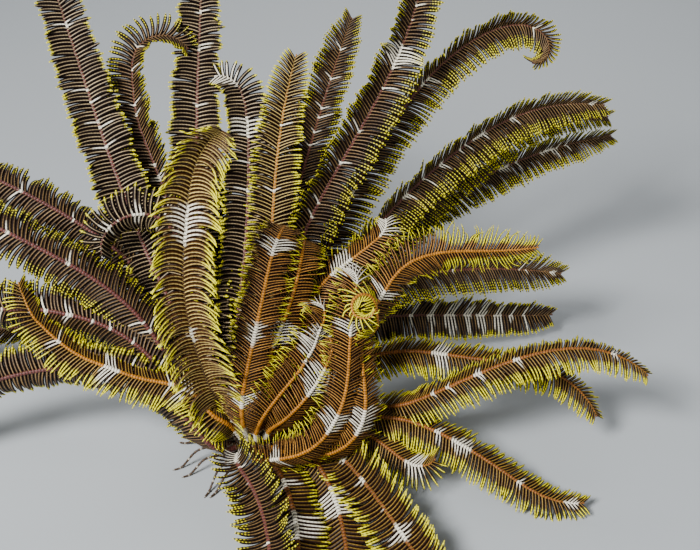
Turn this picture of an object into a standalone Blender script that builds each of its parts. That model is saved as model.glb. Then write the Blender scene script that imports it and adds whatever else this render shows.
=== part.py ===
"""A feather star, life size, standing on its cirri with forty arms spread in a fan.

Metres, with +Z up and the floor at z = 0. The origin is the foot of the animal, the small
flat under its centrodorsal. +X is the fan's right side and -Y is its front.
"""

import collections
import math
import random

import bmesh
import bpy
import numpy as np
from mathutils import Matrix, Vector

MM = 0.001
SEED = 23

# The fan of arms leans back from the front by this much. Its plane holds RIGHT and UP.
FAN_LEAN = math.radians(30)
RIGHT = np.array([1.0, 0.0, 0.0])
UP = np.array([0.0, math.sin(FAN_LEAN), math.cos(FAN_LEAN)])
TOWARD = np.array([0.0, -math.cos(FAN_LEAN), math.sin(FAN_LEAN)])

# Crown: the arms leave the rays in two tiers round the disc, and bend to their own way in a run.
SEAT_RADIUS = (0.0112, 0.0088)
SEAT_HEIGHT = (0.0085, 0.0118)
SEAT_RISE = (math.radians(22), math.radians(58))
SEAT_RUN = 0.022
SEAT_NECK = 0.0016
RAYS = 5
SEATS_A_RAY = 8

# Rays: distance from the axis and height of each fork, and the thickness of what leaves it.
STEM_START = 0.0030
STEM_RADIUS = 0.0016
FORK = (0.0052, 0.0070)
KNEE = (0.0066, 0.0076)
SPLIT = (0.0070, 0.0079)
HALF_RADIUS = (0.00135, 0.00118)
PAIR_RADIUS = (0.00112, 0.00098)
FINGER_RADIUS = 0.00094

# How far a ray's tube runs past its fork, as a share of its length, so that the next is rooted in it.
STEM_OVERLAP = 0.18
HALF_OVERLAP = 0.06
PAIR_OVERLAP = 0.12
FINGER_OVERLAP = 0.1

# Arms: thickness at the root and at the tip, and how near two arms may pass. An arm that rests on
# the floor is sunk into it by a share of its thickness and trimmed flat.
ARM_STEPS = 60
ARM_ROOT_RADIUS = 0.00112
ARM_TIP_RADIUS = 0.00060
ARM_GAP = 0.0042
FLOOR_GAP = 0.0012
RESTING_HEIGHT = 0.66
SETTLE_ROUNDS = 70
SETTLE_SPEED = 2.0
NODE_GAP = 0.0003

# Arms are straight between stations, which lie nearer together where the arm bends.
STATION_STEP = 0.022
STATION_TURN = math.radians(19)

# Pinnules: named lengths, thickness, spacing and the stretches of an arm that bear none.
PINNULE_LENGTH = {"long": 0.0118, "middle": 0.0104, "short": 0.0088}
PINNULE_ROOT_RADIUS = 0.00058
PINNULE_ROOT_SHARE = 0.66
PINNULE_TIP_RADIUS = 0.0001
PINNULE_STEP = 0.0070
PINNULE_FIRST = 0.014
PINNULE_LAST = 0.0015
PINNULE_END = 0.0012

# Angle from arm to pinnule at shares of the arm, and the ways a pinnule gives room to others: a
# shorter length, another fold out of the plane of the two rows, or more or less sweep, in degrees.
SWEEP_AT = (0.0, 0.3, 0.8, 1.0)
SWEEP = (62, 74, 66, 36)
SHORTER = (1.0, 0.85, 0.7, 0.55, 0.42)
FOLDS = (24, 8, 42, -10, 60, 78, -28)
SWAYS = (0, -14, 12)
OWN_ARM_REACH = 0.004

# Centrodorsal, disc and cirri.
KNOB_PROFILE = ((0.0020, 0.0), (0.0036, 0.0008), (0.0046, 0.0026), (0.0045, 0.0042), (0.0036, 0.0055))
DISC_PROFILE = ((0.0044, 0.0086), (0.0056, 0.0095), (0.0055, 0.0108), (0.0040, 0.0121), (0.0014, 0.0126))
ANAL_CONE = ((0.0018, -0.0006, 0.0112), (0.0022, -0.0008, 0.0150))
ANAL_CONE_RADIUS = (0.0014, 0.0009)
CIRRI = 20
CIRRUS_START = 0.0030
CIRRUS_ROWS = (0.0020, 0.0031, 0.0041)
CIRRUS_LENGTH = {"long": 0.0245, "middle": 0.0215, "short": 0.0185}
CIRRUS_RADIUS = (0.00062, 0.00045)
CIRRUS_FOOT = (0.00085, 0.00030)
# The cirri on the clasping side, its azimuth in degrees, reach farther and arch higher.
CLASPING_SIDE = 215
CLASPING_REACH = 0.011
CLASPING_ARCH = 0.0034

# Sides of the turned pieces, the length of wall merged as doubled, and the slab under the floor.
TURNED_SIDES = 14
DOUBLED = 1e-6
SLIVER = 2e-6
SLAB = (0.6, 0.6, 0.1)
CREASE = math.radians(35)
EIGHTH = math.radians(45)

# Numbers of the bodies that the pinnules must clear.
KNOB, DISC, FIRST_RAY, FIRST_ARM = 0, 1, 2, 10

# One row an arm: length in mm, then the heading of the arm in the fan plane and its lean out of
# that plane toward the front, both in degrees at even steps from root to tip, then the way its
# mouth side faces, 0 to the front and 180 to the back. Headings turn left from the right side.
ARMS = {
    "tall_1": (196, (113, 115, 110, 109), (-6, -14, -10, -6), 10),
    "tall_2": (174, (94, 100, 103, 104, 105, 106, 108, 112, 112, 98, 86, 15, -55),
               (-14, -16, -18, -14, -10, -8, -5, 0), -20),
    "tall_3": (186, (92, 98, 93, 89, 89), (-10, -16, -10, -5), 0),
    "tall_4": (100, (84, 94, 97, 97), (-25, -25, -20, -20), 0),
    "tall_5": (134, (78, 80, 82, 83, 85, 87, 89, 91, 95, 112, 190), (5, -5, -10, -5), 10),
    "tall_6": (132, (66, 74, 86, 83, 74), (10, 5, 0, 0), 0),
    "tall_7": (168, (70, 79, 75, 71), (-20, -22, -18, -12), 0),
    "tall_8": (184, (78, 74, 60, 66, 86), (5, 0, 0, 0), 20),
    "sweep_1": (206, (70, 70, 69, 69, 68, 67, 65, 61, 58, 54, 49, 40, 28, 4, -60, -185),
                (-8, -8, -6, -4, 0, 5), 42),
    "sweep_2": (187, (67, 61, 46, 30, -8), (-12, -14, -8, 0), 42),
    "sweep_3": (196, (60, 58, 47, 33, -12), (-24, -24, -14, -6), 42),
    "sweep_4": (196, (66, 50, 36, 25, 8), (-20, -20, -10, 0), 42),
    "right_1": (92, (58, 50, 48, 46, 44, 44, 48, 58, 78, 116, 215, 325, 440),
                (36, 30, 14, 14, 44, 18, 0), 285),
    "right_2": (146, (68, 60, 18, 2, -7), (-24, -26, -20, -10), 35),
    "right_3": (143, (62, 38, 4, -1, 1), (-30, -28, -20, -10), 35),
    "right_4": (133, (28, 26, -6, -10, -66), (20, 12, 5, 0), 140),
    "right_5": (142, (-26, -2, 23, 22, 2, -44), (40, 30, 10, 0, 0), 140),
    "right_6": (116, (14, 4, -6, -22, -32, -30, 6), (45, 28, 16, 10, 6), 142),
    "right_7": (62, (4, -4, -8, -14, -36, -20, 60), (44, 38, 30, 24, 20, 30), 150),
    "floor_1": (120, (-20, -70, -84, -84), (38, 44, 54, 60), 0),
    "floor_2": (140, (-34, -84, -99, -96), (38, 44, 54, 58), 180),
    "floor_3": (146, (-30, -76, -90, -86), (36, 44, 52, 56), 180),
    "floor_4": (140, (-20, -48, -50, -44), (34, 42, 46, 50), 0),
    "front_1": (149, (0, 0, 14, 58, 93, 92, 62, 56, 20, 2, 2, 8),
                (50, 40, 20, 8, 0, -4, -6, -8, -6, -4, 0, 0), 212),
    "front_2": (104, (14, 14, 12, 12, 28, 52, 66, 80, 87, 86, 85, 84, 190),
                (56, 50, 40, 24, 12, 4, 0, 0, 0, 0, -4, -10, -40), 214),
    "front_3": (102, (96, 92, 80, 77, 78, 77, 66, 60), (50, 46, 16, 8, 4, -10, -60, -150), 180),
    "front_4": (92, (116, 110, 98, 70, 70, 78, 84, 84), (40, 34, 16, 6, 0, -10, -60, -140), 180),
    "front_5": (68, (84, 74, 60, 55, 52, 50, 56, 62, 70, 100, 220),
                (50, 48, 40, 25, 15, 10, 8, 4, 0, -10, -20), 222),
    "front_6": (61, (10, 16, 26, 42, 48, 54, 62, 72, 130, 220),
                (60, 56, 44, 28, 16, 10, 6, 0, -15, -30), 210),
    "front_7": (92, (74, 74, 76, 80, 84, 84, 70, 48, 37, 38, 48, 110),
                (40, 34, 20, 12, 8, 4, 0, 0, 0, 0, -10, -60), 150),
    "left_1": (132, (92, 104, 99, 86, 74, 10), (34, 42, 34, 15, 20, 75), 0),
    "left_2": (103, (130, 136, 138, 168, 164, 156, 142, 126, 104), (30, 24, 14, 6, 0, 0, 0, 0, 0), 215),
    "left_3": (166, (96, 108, 142, 154, 158), (5, 0, 5, 5), 200),
    "left_4": (158, (94, 114, 146, 154, 157), (20, 15, 10, 5), 200),
    "left_5": (155, (98, 126, 168, 186, 190), (12, 8, 0, 0), 170),
    "left_6": (160, (108, 148, 188, 208, 206), (8, 5, 0, 0), 160),
    "left_7": (158, (100, 150, 177, 190, 194), (-15, -15, -10, 0), 20),
    "left_8": (114, (96, 98, 99, 97, 96, 95, 120, 176, 224, 290), (14, 18, 20, 20, 8, 0), 150),
    "back_1": (160, (60, 45, 30), (-52, -62, -60), 0),
    "back_2": (160, (110, 125, 140), (-52, -62, -60), 0),
}

# The arms in the order of their seats round the cup, from the front left and on to the right, and
# by turns in the lower and the upper tier. The first seat lies at the azimuth RING_START.
RING = ("floor_1", "front_3", "front_2", "front_5", "floor_2", "front_6", "front_1", "front_4",
        "floor_3", "right_1", "floor_4", "front_7", "right_7", "right_2", "right_6", "sweep_3",
        "right_5", "sweep_2", "right_4", "sweep_1", "right_3", "tall_8", "sweep_4", "tall_7",
        "back_1", "tall_6", "back_2", "tall_5", "left_8", "tall_4", "left_7", "tall_3",
        "left_3", "tall_2", "left_4", "tall_1", "left_5", "left_1", "left_6", "left_2")
RING_START = math.radians(-108)

# Arms that bend round a wide gap are made in two lengths, parted at this share of the arm.
PARTED = {"tall_2": 0.58, "sweep_1": 0.62, "front_1": 0.48, "front_2": 0.5, "front_3": 0.6,
          "left_8": 0.62, "left_2": 0.45, "left_6": 0.45, "right_4": 0.45, "right_5": 0.6}

# Arms that come down to the floor and lie on it.
RESTING = ("floor_1", "floor_2", "floor_3", "floor_4", "back_1", "back_2", "left_6", "right_6")

COLOURS = {"tall": (0.105, 0.040, 0.026), "sweep": (0.115, 0.045, 0.027), "right": (0.22, 0.088, 0.030),
           "floor": (0.16, 0.062, 0.028), "front": (0.34, 0.125, 0.030), "left": (0.15, 0.058, 0.027),
           "back": (0.105, 0.042, 0.027), "knob": (0.075, 0.038, 0.024), "ray": (0.25, 0.11, 0.045),
           "disc": (0.12, 0.055, 0.035)}


def profile(values, s):
    """A quantity given at even steps from root to tip, eased between them (Catmull-Rom)."""
    values = np.asarray(values, float)
    x = s * (len(values) - 1)
    i = np.clip(x.astype(int), 0, len(values) - 2)
    f = x - i
    v = np.concatenate([[2 * values[0] - values[1]], values, [2 * values[-1] - values[-2]]])
    p0, p1, p2, p3 = v[i], v[i + 1], v[i + 2], v[i + 3]
    return 0.5 * (2 * p1 + (p2 - p0) * f + (2 * p0 - 5 * p1 + 4 * p2 - p3) * f**2
                  + (3 * p1 - p0 - 3 * p2 + p3) * f**3)


def unit(v):
    """Vectors divided by their lengths."""
    return v / np.maximum(np.linalg.norm(v, axis=-1, keepdims=True), 1e-12)


def fan_direction(heading, lean):
    """Unit vectors at a heading in the fan plane, leaning out of it toward the front, in degrees."""
    h, a = np.radians(heading), np.radians(lean)
    return ((np.cos(a) * np.cos(h))[:, None] * RIGHT + (np.cos(a) * np.sin(h))[:, None] * UP
            + np.sin(a)[:, None] * TOWARD)


def ring_of_seats():
    """Each arm's place round the ring, its azimuth and its tier: 0 the lower and 1 the upper."""
    step = 2 * math.pi / len(RING)
    return {name: (place, RING_START + step * place, place % 2) for place, name in enumerate(RING)}


def seat_point(azimuth, tier):
    """The seat's place and the way an arm leaves it."""
    out = np.array([math.cos(azimuth), math.sin(azimuth), 0.0])
    place = out * SEAT_RADIUS[tier] + np.array([0.0, 0.0, SEAT_HEIGHT[tier]])
    way = out * math.cos(SEAT_RISE[tier]) + np.array([0.0, 0.0, math.sin(SEAT_RISE[tier])])
    return place, way


def arm_radius(s):
    """Half thickness of an arm at a share s of its length."""
    return ARM_ROOT_RADIUS + (ARM_TIP_RADIUS - ARM_ROOT_RADIUS) * s


def centre_lines(seats):
    """The centre line of each arm, ARM_STEPS steps long, from its seat along its headings."""
    s = np.linspace(0, 1, ARM_STEPS + 1)
    mid = (s[1:] + s[:-1]) / 2
    lines = []
    for name, (length, headings, leans, face) in ARMS.items():
        start, seat_way = seat_point(*seats[name][1:])
        own = fan_direction(profile(headings, mid), profile(leans, mid))
        f = np.clip(mid * length * MM / SEAT_RUN, 0, 1)
        blend = (f * f * (3 - 2 * f))[:, None]
        steps = unit((1 - blend) * seat_way + blend * own) * (length * MM / ARM_STEPS)
        lines.append(np.concatenate([[start], start + np.cumsum(steps, axis=0)]))
    lines = np.array(lines)
    lowest = np.array([arm_radius(s) * RESTING_HEIGHT if name in RESTING else arm_radius(s) + FLOOR_GAP
                       for name in ARMS])
    for _ in range(SETTLE_ROUNDS):
        lines = settle(lines, s, lowest)
    return lines


def settle(lines, s, lowest):
    """One round in which arms that pass too near push each other aside and the floor pushes up."""
    n, m, _ = lines.shape
    flat = lines.reshape(-1, 3)
    own = np.repeat(np.arange(n), m)
    square = (flat**2).sum(1)
    apart = square[:, None] + square[None, :] - 2 * flat @ flat.T
    want = np.tile(ARM_GAP * np.clip(0.35 + s / 0.12, 0, 1), n)
    gap = np.minimum(want[:, None], want[None, :])
    i, j = np.nonzero((apart < gap**2) & (own[:, None] != own[None, :]))
    push = np.zeros_like(flat)
    if len(i):
        line = flat[i] - flat[j]
        far = np.maximum(np.linalg.norm(line, axis=1), 1e-6)
        np.add.at(push, i, line / far[:, None] * ((gap[i, j] - far) * 0.5)[:, None])
        push /= np.maximum(np.bincount(i, minlength=len(flat)), 1)[:, None] ** 0.5
    push = push.reshape(n, m, 3)
    kernel = np.hanning(9)[1:-1]
    kernel /= kernel.sum()
    padded = np.pad(push, ((0, 0), (3, 3), (0, 0)), mode="edge")
    smooth = sum(w * padded[:, k : k + m] for k, w in enumerate(kernel))
    moved = lines + smooth * SETTLE_SPEED * np.clip((s - 0.02) / 0.12, 0, 1)[None, :, None]
    moved[..., 2] = np.maximum(moved[..., 2], lowest)
    return moved


def arm_frames(line, face):
    """Unit tangent, mouth side and flank at each step, with the least twist along the arm."""
    tangent = unit(np.gradient(line, axis=0))
    start = int(0.3 * ARM_STEPS)
    t = tangent[start]
    flat = TOWARD - (TOWARD @ t) * t
    if np.linalg.norm(flat) < 0.2:
        flat = UP - (UP @ t) * t
    flat = unit(flat)
    side = np.cross(t, flat)
    a = math.radians(face)
    mouth = np.zeros_like(line)
    mouth[start] = math.cos(a) * flat + math.sin(a) * side
    for order in (range(start + 1, len(line)), range(start - 1, -1, -1)):
        last = start
        for k in order:
            v = mouth[last] - (mouth[last] @ tangent[k]) * tangent[k]
            mouth[k] = unit(v)
            last = k
    return tangent, mouth, np.cross(mouth, tangent)


def stations(line, first, last):
    """Steps at which an arm's solid is given: nearer together where the arm bends."""
    tangent = unit(np.diff(line, axis=0))
    bend = np.arccos(np.clip((tangent[1:] * tangent[:-1]).sum(1), -1, 1))
    size = np.linalg.norm(np.diff(line, axis=0), axis=1)
    cost = size / STATION_STEP + np.concatenate([[0], bend]) / STATION_TURN
    total = np.concatenate([[0], np.cumsum(cost)])[first : last + 1]
    total = total - total[0]
    count = max(3, int(round(total[-1])))
    picks = first + np.searchsorted(total, np.linspace(0, total[-1], count + 1))
    return sorted(set([first] + [int(k) for k in picks[1:-1]] + [last]))


class Rods:
    """Tapered rods already placed, against which each new rod is tried for room."""

    def __init__(self):
        self.rows = []
        self.table = None

    def add(self, owner, a, b, radius_a, radius_b, is_pinnule=False):
        self.rows.append((owner, *a, *b, radius_a, radius_b, is_pinnule))
        self.table = None

    def add_path(self, owner, points, radii):
        """The rods of a tapering tube along points."""
        for k in range(len(points) - 1):
            self.add(owner, points[k], points[k + 1], radii[k], radii[k + 1])

    def room(self, owner, a, b, radius_a, radius_b, root_reach):
        """The least clear distance from a pinnule rooted at a to all other rods.

        Of its own node the lengths of arm within root_reach of its root don't count."""
        if self.table is None:
            self.table = np.array(self.rows, float)
        table = self.table
        middle = (table[:, 1:4] + table[:, 4:7]) / 2
        half = np.linalg.norm(table[:, 4:7] - table[:, 1:4], axis=1) / 2
        near = np.linalg.norm(middle - a, axis=1) < half + root_reach
        rows = table[~((table[:, 0] == owner) & (table[:, 9] == 0) & near)]
        p, q, rp, rq = rows[:, 1:4], rows[:, 4:7], rows[:, 7], rows[:, 8]
        reach = np.linalg.norm(b - a) / 2 + np.linalg.norm(q - p, axis=1) / 2 + 0.003
        close = np.linalg.norm((p + q) / 2 - (a + b) / 2, axis=1) < reach
        p, q, rp, rq = p[close], q[close], rp[close], rq[close]
        if not len(p):
            return 1.0
        d1, d2, r = b - a, q - p, a - p
        aa, ee, ff = d1 @ d1, (d2 * d2).sum(1), (d2 * r).sum(1)
        cc, bb = r @ d1, d2 @ d1
        den = aa * ee - bb * bb
        s = np.clip(np.where(den > 1e-18, (bb * ff - cc * ee) / np.maximum(den, 1e-18), 0.5), 0, 1)
        t = np.clip((bb * s + ff) / ee, 0, 1)
        s = np.clip((bb * t - cc) / aa, 0, 1)
        apart = np.linalg.norm(a + s[:, None] * d1 - p - t[:, None] * d2, axis=1)
        thick = radius_a + (radius_b - radius_a) * s + rp + (rq - rp) * t
        return float((apart - thick).min())


def clear_scene():
    """Empties the scene and returns a new collection for the parts."""
    for thing in list(bpy.data.objects):
        bpy.data.objects.remove(thing, do_unlink=True)
    for old in list(bpy.data.collections):
        bpy.data.collections.remove(old)
    parts = bpy.data.collections.new("feather_star")
    bpy.context.scene.collection.children.link(parts)
    return parts


def material(name, colour, roughness=0.62):
    """A plain skin of one colour."""
    skin = bpy.data.materials.new(name)
    skin.use_nodes = True
    skin.diffuse_color = (*colour, 1.0)
    shader = skin.node_tree.nodes["Principled BSDF"]
    shader.inputs["Base Color"].default_value = (*colour, 1.0)
    shader.inputs["Roughness"].default_value = roughness
    shader.inputs["Metallic"].default_value = 0.0
    return skin


def weld(mesh, distance=DOUBLED):
    """Joins a mesh's doubled corners and turns its faces out."""
    work = bmesh.new()
    work.from_mesh(mesh)
    bmesh.ops.remove_doubles(work, verts=work.verts, dist=distance)
    bmesh.ops.recalc_face_normals(work, faces=work.faces)
    work.to_mesh(mesh)
    work.free()
    mesh.update()


def tube(name, points, radii, tilt=0.0, twist="MINIMUM"):
    """A four-sided tapering tube along points, as a closed mesh object."""
    data = bpy.data.curves.new(name + "_path", "CURVE")
    data.dimensions = "3D"
    data.fill_mode = "FULL"
    data.bevel_depth = MM
    data.bevel_resolution = 0
    data.use_fill_caps = True
    data.twist_mode = twist
    spline = data.splines.new("POLY")
    spline.points.add(len(points) - 1)
    for spot, place, radius in zip(spline.points, points, radii):
        spot.co = (*place, 1.0)
        spot.radius = radius / MM
        spot.tilt = tilt
    guide = bpy.data.objects.new(name + "_path", data)
    bpy.context.scene.collection.objects.link(guide)
    view = bpy.context.evaluated_depsgraph_get()
    mesh = bpy.data.meshes.new_from_object(guide.evaluated_get(view))
    made = bpy.data.objects.new(name, mesh)
    made.matrix_world = guide.matrix_world.copy()
    bpy.data.objects.remove(guide, do_unlink=True)
    bpy.data.curves.remove(data)
    weld(mesh)
    return made


def spike(name, root, tip, root_radius):
    """A three-sided spike from root to tip, as a closed mesh object."""
    root, tip = Vector(root), Vector(tip)
    way = tip - root
    turn = way.to_track_quat("Z", "Y").to_matrix().to_4x4()
    work = bmesh.new()
    bmesh.ops.create_cone(work, cap_ends=True, segments=3, radius1=root_radius, radius2=0.0,
                          depth=way.length, matrix=Matrix.Translation((root + tip) / 2) @ turn)
    mesh = bpy.data.meshes.new(name)
    work.to_mesh(mesh)
    work.free()
    weld(mesh)
    return bpy.data.objects.new(name, mesh)


def turned(name, outline):
    """A solid of revolution about Z from an outline that runs from its foot up."""
    work = bmesh.new()
    corners = [work.verts.new((r, 0.0, z)) for r, z in outline]
    for a, b in zip(corners, corners[1:]):
        work.edges.new((a, b))
    bmesh.ops.spin(work, geom=list(work.verts) + list(work.edges), cent=(0, 0, 0), axis=(0, 0, 1),
                   angle=2 * math.pi, steps=TURNED_SIDES, use_merge=True)
    bmesh.ops.remove_doubles(work, verts=work.verts, dist=DOUBLED)
    bmesh.ops.holes_fill(work, edges=[e for e in work.edges if e.is_boundary],
                         sides=TURNED_SIDES)
    bmesh.ops.recalc_face_normals(work, faces=work.faces)
    mesh = bpy.data.meshes.new(name)
    work.to_mesh(mesh)
    work.free()
    return bpy.data.objects.new(name, mesh)


def open_edges(mesh):
    """How many edges of a mesh don't lie between just two faces."""
    work = bmesh.new()
    work.from_mesh(mesh)
    count = sum(1 for e in work.edges if not e.is_manifold)
    work.free()
    return count


def boolean(body, operation, group, solver):
    """The mesh of one Boolean of a body with a collection of closed meshes."""
    change = body.modifiers.new("join", "BOOLEAN")
    change.operation = operation
    change.operand_type = "COLLECTION"
    change.collection = group
    change.solver = solver
    view = bpy.context.evaluated_depsgraph_get()
    mesh = bpy.data.meshes.new_from_object(body.evaluated_get(view))
    body.modifiers.clear()
    return mesh


def join(body, pieces, operation="UNION"):
    """Joins pieces to a body, or cuts them from it, and removes them."""
    if not pieces:
        return body
    group = bpy.data.collections.new(body.name + "_pieces")
    bpy.context.scene.collection.children.link(group)
    for piece in pieces:
        group.objects.link(piece)
    for solver in ("MANIFOLD", "EXACT"):
        mesh = boolean(body, operation, group, solver)
        if len(mesh.polygons) > len(body.data.polygons) // 2 and not open_edges(mesh):
            break
    else:
        raise RuntimeError("no clean join for " + body.name)
    body.data = mesh
    for piece in pieces:
        bpy.data.objects.remove(piece, do_unlink=True)
    bpy.data.collections.remove(group)
    return body


def drop_small_shells(work):
    """Deletes all but the shell with the most faces, told apart across shared edges."""
    left = set(work.faces)
    shells = []
    while left:
        seed = left.pop()
        shell, edge = [seed], [seed]
        while edge:
            for e in edge.pop().edges:
                for face in e.link_faces:
                    if face in left:
                        left.discard(face)
                        shell.append(face)
                        edge.append(face)
        shells.append(shell)
    shells.sort(key=len, reverse=True)
    bmesh.ops.delete(work, geom=[f for shell in shells[1:] for f in shell], context="FACES")


def keep_largest(body):
    """Keeps a body's largest closed surface and merges the slivers left by joining."""
    work = bmesh.new()
    work.from_mesh(body.data)
    drop_small_shells(work)
    tidy = work.copy()
    bmesh.ops.dissolve_degenerate(tidy, dist=SLIVER, edges=tidy.edges)
    drop_small_shells(tidy)
    if all(e.is_manifold for e in tidy.edges):
        work, tidy = tidy, work
    tidy.free()
    bmesh.ops.triangulate(work, faces=[f for f in work.faces if len(f.verts) > 4])
    bmesh.ops.recalc_face_normals(work, faces=work.faces)
    if work.calc_volume(signed=True) < 0:
        bmesh.ops.reverse_faces(work, faces=work.faces)
    work.to_mesh(body.data)
    work.free()
    body.data.update()


def floor_cutter():
    """A slab under the floor, whose top trims what rests on the floor to small flats."""
    work = bmesh.new()
    bmesh.ops.create_cube(work, size=1.0, matrix=Matrix.Translation((0, 0, -SLAB[2] / 2))
                          @ Matrix.Diagonal((*SLAB, 1.0)))
    mesh = bpy.data.meshes.new("below_floor")
    work.to_mesh(mesh)
    work.free()
    return bpy.data.objects.new("below_floor", mesh)


def finish(body, colour, parts):
    """Keeps one closed surface, gives it its material and files it under the parts."""
    keep_largest(body)
    body.data.materials.clear()
    body.data.materials.append(material(body.name, colour))
    body.data.shade_smooth()
    body.data.set_sharp_from_angle(angle=CREASE)
    parts.objects.link(body)


def in_scene(body):
    """Links a body to the scene, where its modifiers can be evaluated."""
    bpy.context.scene.collection.objects.link(body)
    return body


def out_of_scene(body):
    """Takes a body out of the scene again, for its own collection."""
    bpy.context.scene.collection.objects.unlink(body)
    return body


def round_axis(radius, angle, height):
    """A point at a distance from the upright axis, at an angle round it."""
    return np.array([radius * math.cos(angle), radius * math.sin(angle), height])


def ray_tubes(ray, seats):
    """Paths and radii of one ray's branching tubes: a stem, two halves, four pairs, eight seats."""
    step = 2 * math.pi / len(RING)
    azimuth = RING_START + step * (SEATS_A_RAY * ray + (SEATS_A_RAY - 1) / 2)
    fork = round_axis(FORK[0], azimuth, FORK[1])
    stem = round_axis(STEM_START, azimuth, FORK[1])
    tubes = [([stem, fork + STEM_OVERLAP * (fork - stem)], [STEM_RADIUS, STEM_RADIUS])]
    for half in (-1, 1):
        turn = azimuth + half * 2 * step
        knee = round_axis(KNEE[0], turn, KNEE[1])
        tubes.append(([fork, knee + HALF_OVERLAP * (knee - fork)], HALF_RADIUS))
        for side in (-1, 1):
            pair = turn + side * step
            split = round_axis(SPLIT[0], pair, SPLIT[1])
            past = PAIR_OVERLAP * (split - knee)
            tubes.append(([knee - past, split + past], PAIR_RADIUS))
            for place, seat_azimuth, tier in seats:
                gap = (seat_azimuth - pair + math.pi) % (2 * math.pi) - math.pi
                if place // SEATS_A_RAY == ray and abs(gap) < step * 0.9:
                    end, way = seat_point(seat_azimuth, tier)
                    end = end - way * NODE_GAP / 2
                    start = split - FINGER_OVERLAP * (end - split)
                    tubes.append(([start, end - way * SEAT_NECK, end],
                                  [FINGER_RADIUS, ARM_ROOT_RADIUS, ARM_ROOT_RADIUS]))
    return tubes


def cirri_paths(rng):
    """Paths and radii of the cirri, which arch out from the knob and rest on the floor."""
    paths = []
    for k in range(CIRRI):
        size = CIRRUS_LENGTH[("long", "middle", "short", "middle", "long")[k % 5]]
        azimuth = 2 * math.pi * k / CIRRI + rng.uniform(-0.07, 0.07)
        drift = rng.uniform(-0.16, 0.16)
        height = CIRRUS_ROWS[k % 3]
        lift = rng.uniform(0.7, 1.25)
        clasp = max(0.0, math.cos(azimuth - math.radians(CLASPING_SIDE))) ** 4
        size += CLASPING_REACH * clasp
        arch = CLASPING_ARCH * clasp
        shape = ((0.0, height, 0.0), (0.13, height + 0.0009 * lift, 0.1),
                 (0.38, height + 0.0011 * lift + 0.4 * arch, 0.3),
                 (0.66, height * 0.55 + 0.0010 * lift + arch, 0.6),
                 (0.87, CIRRUS_FOOT[0], 0.85), (1.0, CIRRUS_FOOT[1], 1.0))
        points = [round_axis(CIRRUS_START + (size - CIRRUS_START) * reach, azimuth + drift * share, level)
                  for reach, level, share in shape]
        paths.append((points, list(np.linspace(*CIRRUS_RADIUS, len(points)))))
    return paths


def pinnule_size(name, u, rng):
    """Length of a pinnule at a share u of its arm, short at the root and shorter at the tip."""
    named = "short" if name.startswith("front") else "long" if name in ("left_1", "tall_1") else "middle"
    shape = np.interp(u, (0.0, 0.10, 0.28, 0.70, 0.92, 1.0), (0.45, 0.72, 1.0, 1.0, 0.82, 0.55))
    return PINNULE_LENGTH[named] * float(shape) * rng.uniform(0.92, 1.06)


def pinnule_ways(sweep, side, tangent, mouth, flank):
    """The ways a pinnule may take, from the best to the least good, each with its share of length."""
    for share in SHORTER:
        for fold in FOLDS:
            for sway in SWAYS:
                a, b = math.radians(sweep + sway), math.radians(fold)
                yield share, math.cos(a) * tangent + math.sin(a) * (math.cos(b) * side * flank
                                                                   + math.sin(b) * mouth)


def place_pinnules(arm, line, rods, rng):
    """Roots, tips and thicknesses of the pinnules of one length of an arm that have room."""
    frames = arm_frames(line, ARMS[arm.name][3])
    size = np.concatenate([[0], np.cumsum(np.linalg.norm(np.diff(line, axis=0), axis=1))])
    begin = max(size[arm.picks[0]] + PINNULE_END, PINNULE_FIRST)
    end = min(size[arm.picks[-1]] - PINNULE_END, size[-1] - PINNULE_LAST)
    count = max(2, int(round((end - begin) / PINNULE_STEP)))
    side = 1 if rng.random() < 0.5 else -1
    found = []
    for i in range(count + 1):
        along = begin + (end - begin) * (i + rng.uniform(-0.15, 0.15) * (0 < i < count)) / count
        side = -side
        u = along / size[-1]
        root = np.array([np.interp(along, size[arm.picks], column) for column in np.array(arm.points).T])
        tangent, mouth, flank = (unit(np.array([np.interp(along, size, column) for column in f.T]))
                                 for f in frames)
        want = pinnule_size(arm.name, u, rng)
        thick = min(PINNULE_ROOT_RADIUS, PINNULE_ROOT_SHARE * arm_radius(u))
        sweep = np.interp(u, SWEEP_AT, SWEEP)
        for share, way in pinnule_ways(sweep, side, tangent, mouth, flank):
            start = root + way * arm_radius(u) * 0.7
            tip = root + way * want * share
            lowest = min(tip[2] - PINNULE_TIP_RADIUS, start[2] + 0.3 * (tip - start)[2] - thick)
            room = NODE_GAP * 1.15
            if lowest > NODE_GAP and rods.room(arm.number, start, tip, thick, PINNULE_TIP_RADIUS,
                                               OWN_ARM_REACH) > room:
                found.append((root, tip, thick))
                rods.add(arm.number, root, tip, thick, PINNULE_TIP_RADIUS, True)
                break
    return found


ArmLength = collections.namedtuple("ArmLength", "title name row number picks points radii")


def arm_lengths(lines):
    """Each arm's polyline of stations, in one length or two, with a gap at its ends."""
    lengths = []
    for row, name in enumerate(ARMS):
        line = lines[row]
        cuts = [0, ARM_STEPS]
        if name in PARTED:
            cuts = [0, int(round(PARTED[name] * ARM_STEPS)), ARM_STEPS]
        for k, (first, last) in enumerate(zip(cuts, cuts[1:])):
            title = name if len(cuts) == 2 else name + ("_lower", "_upper")[k]
            picks = stations(line, first, last)
            points = [line[p].copy() for p in picks]
            points[0] += unit(line[first + 1] - line[first]) * NODE_GAP / 2
            if last < ARM_STEPS:
                points[-1] -= unit(line[last] - line[last - 1]) * NODE_GAP / 2
            radii = [float(arm_radius(p / ARM_STEPS)) for p in picks]
            lengths.append(ArmLength(title, name, row, FIRST_ARM + len(lengths), picks, points, radii))
    return lengths


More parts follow.
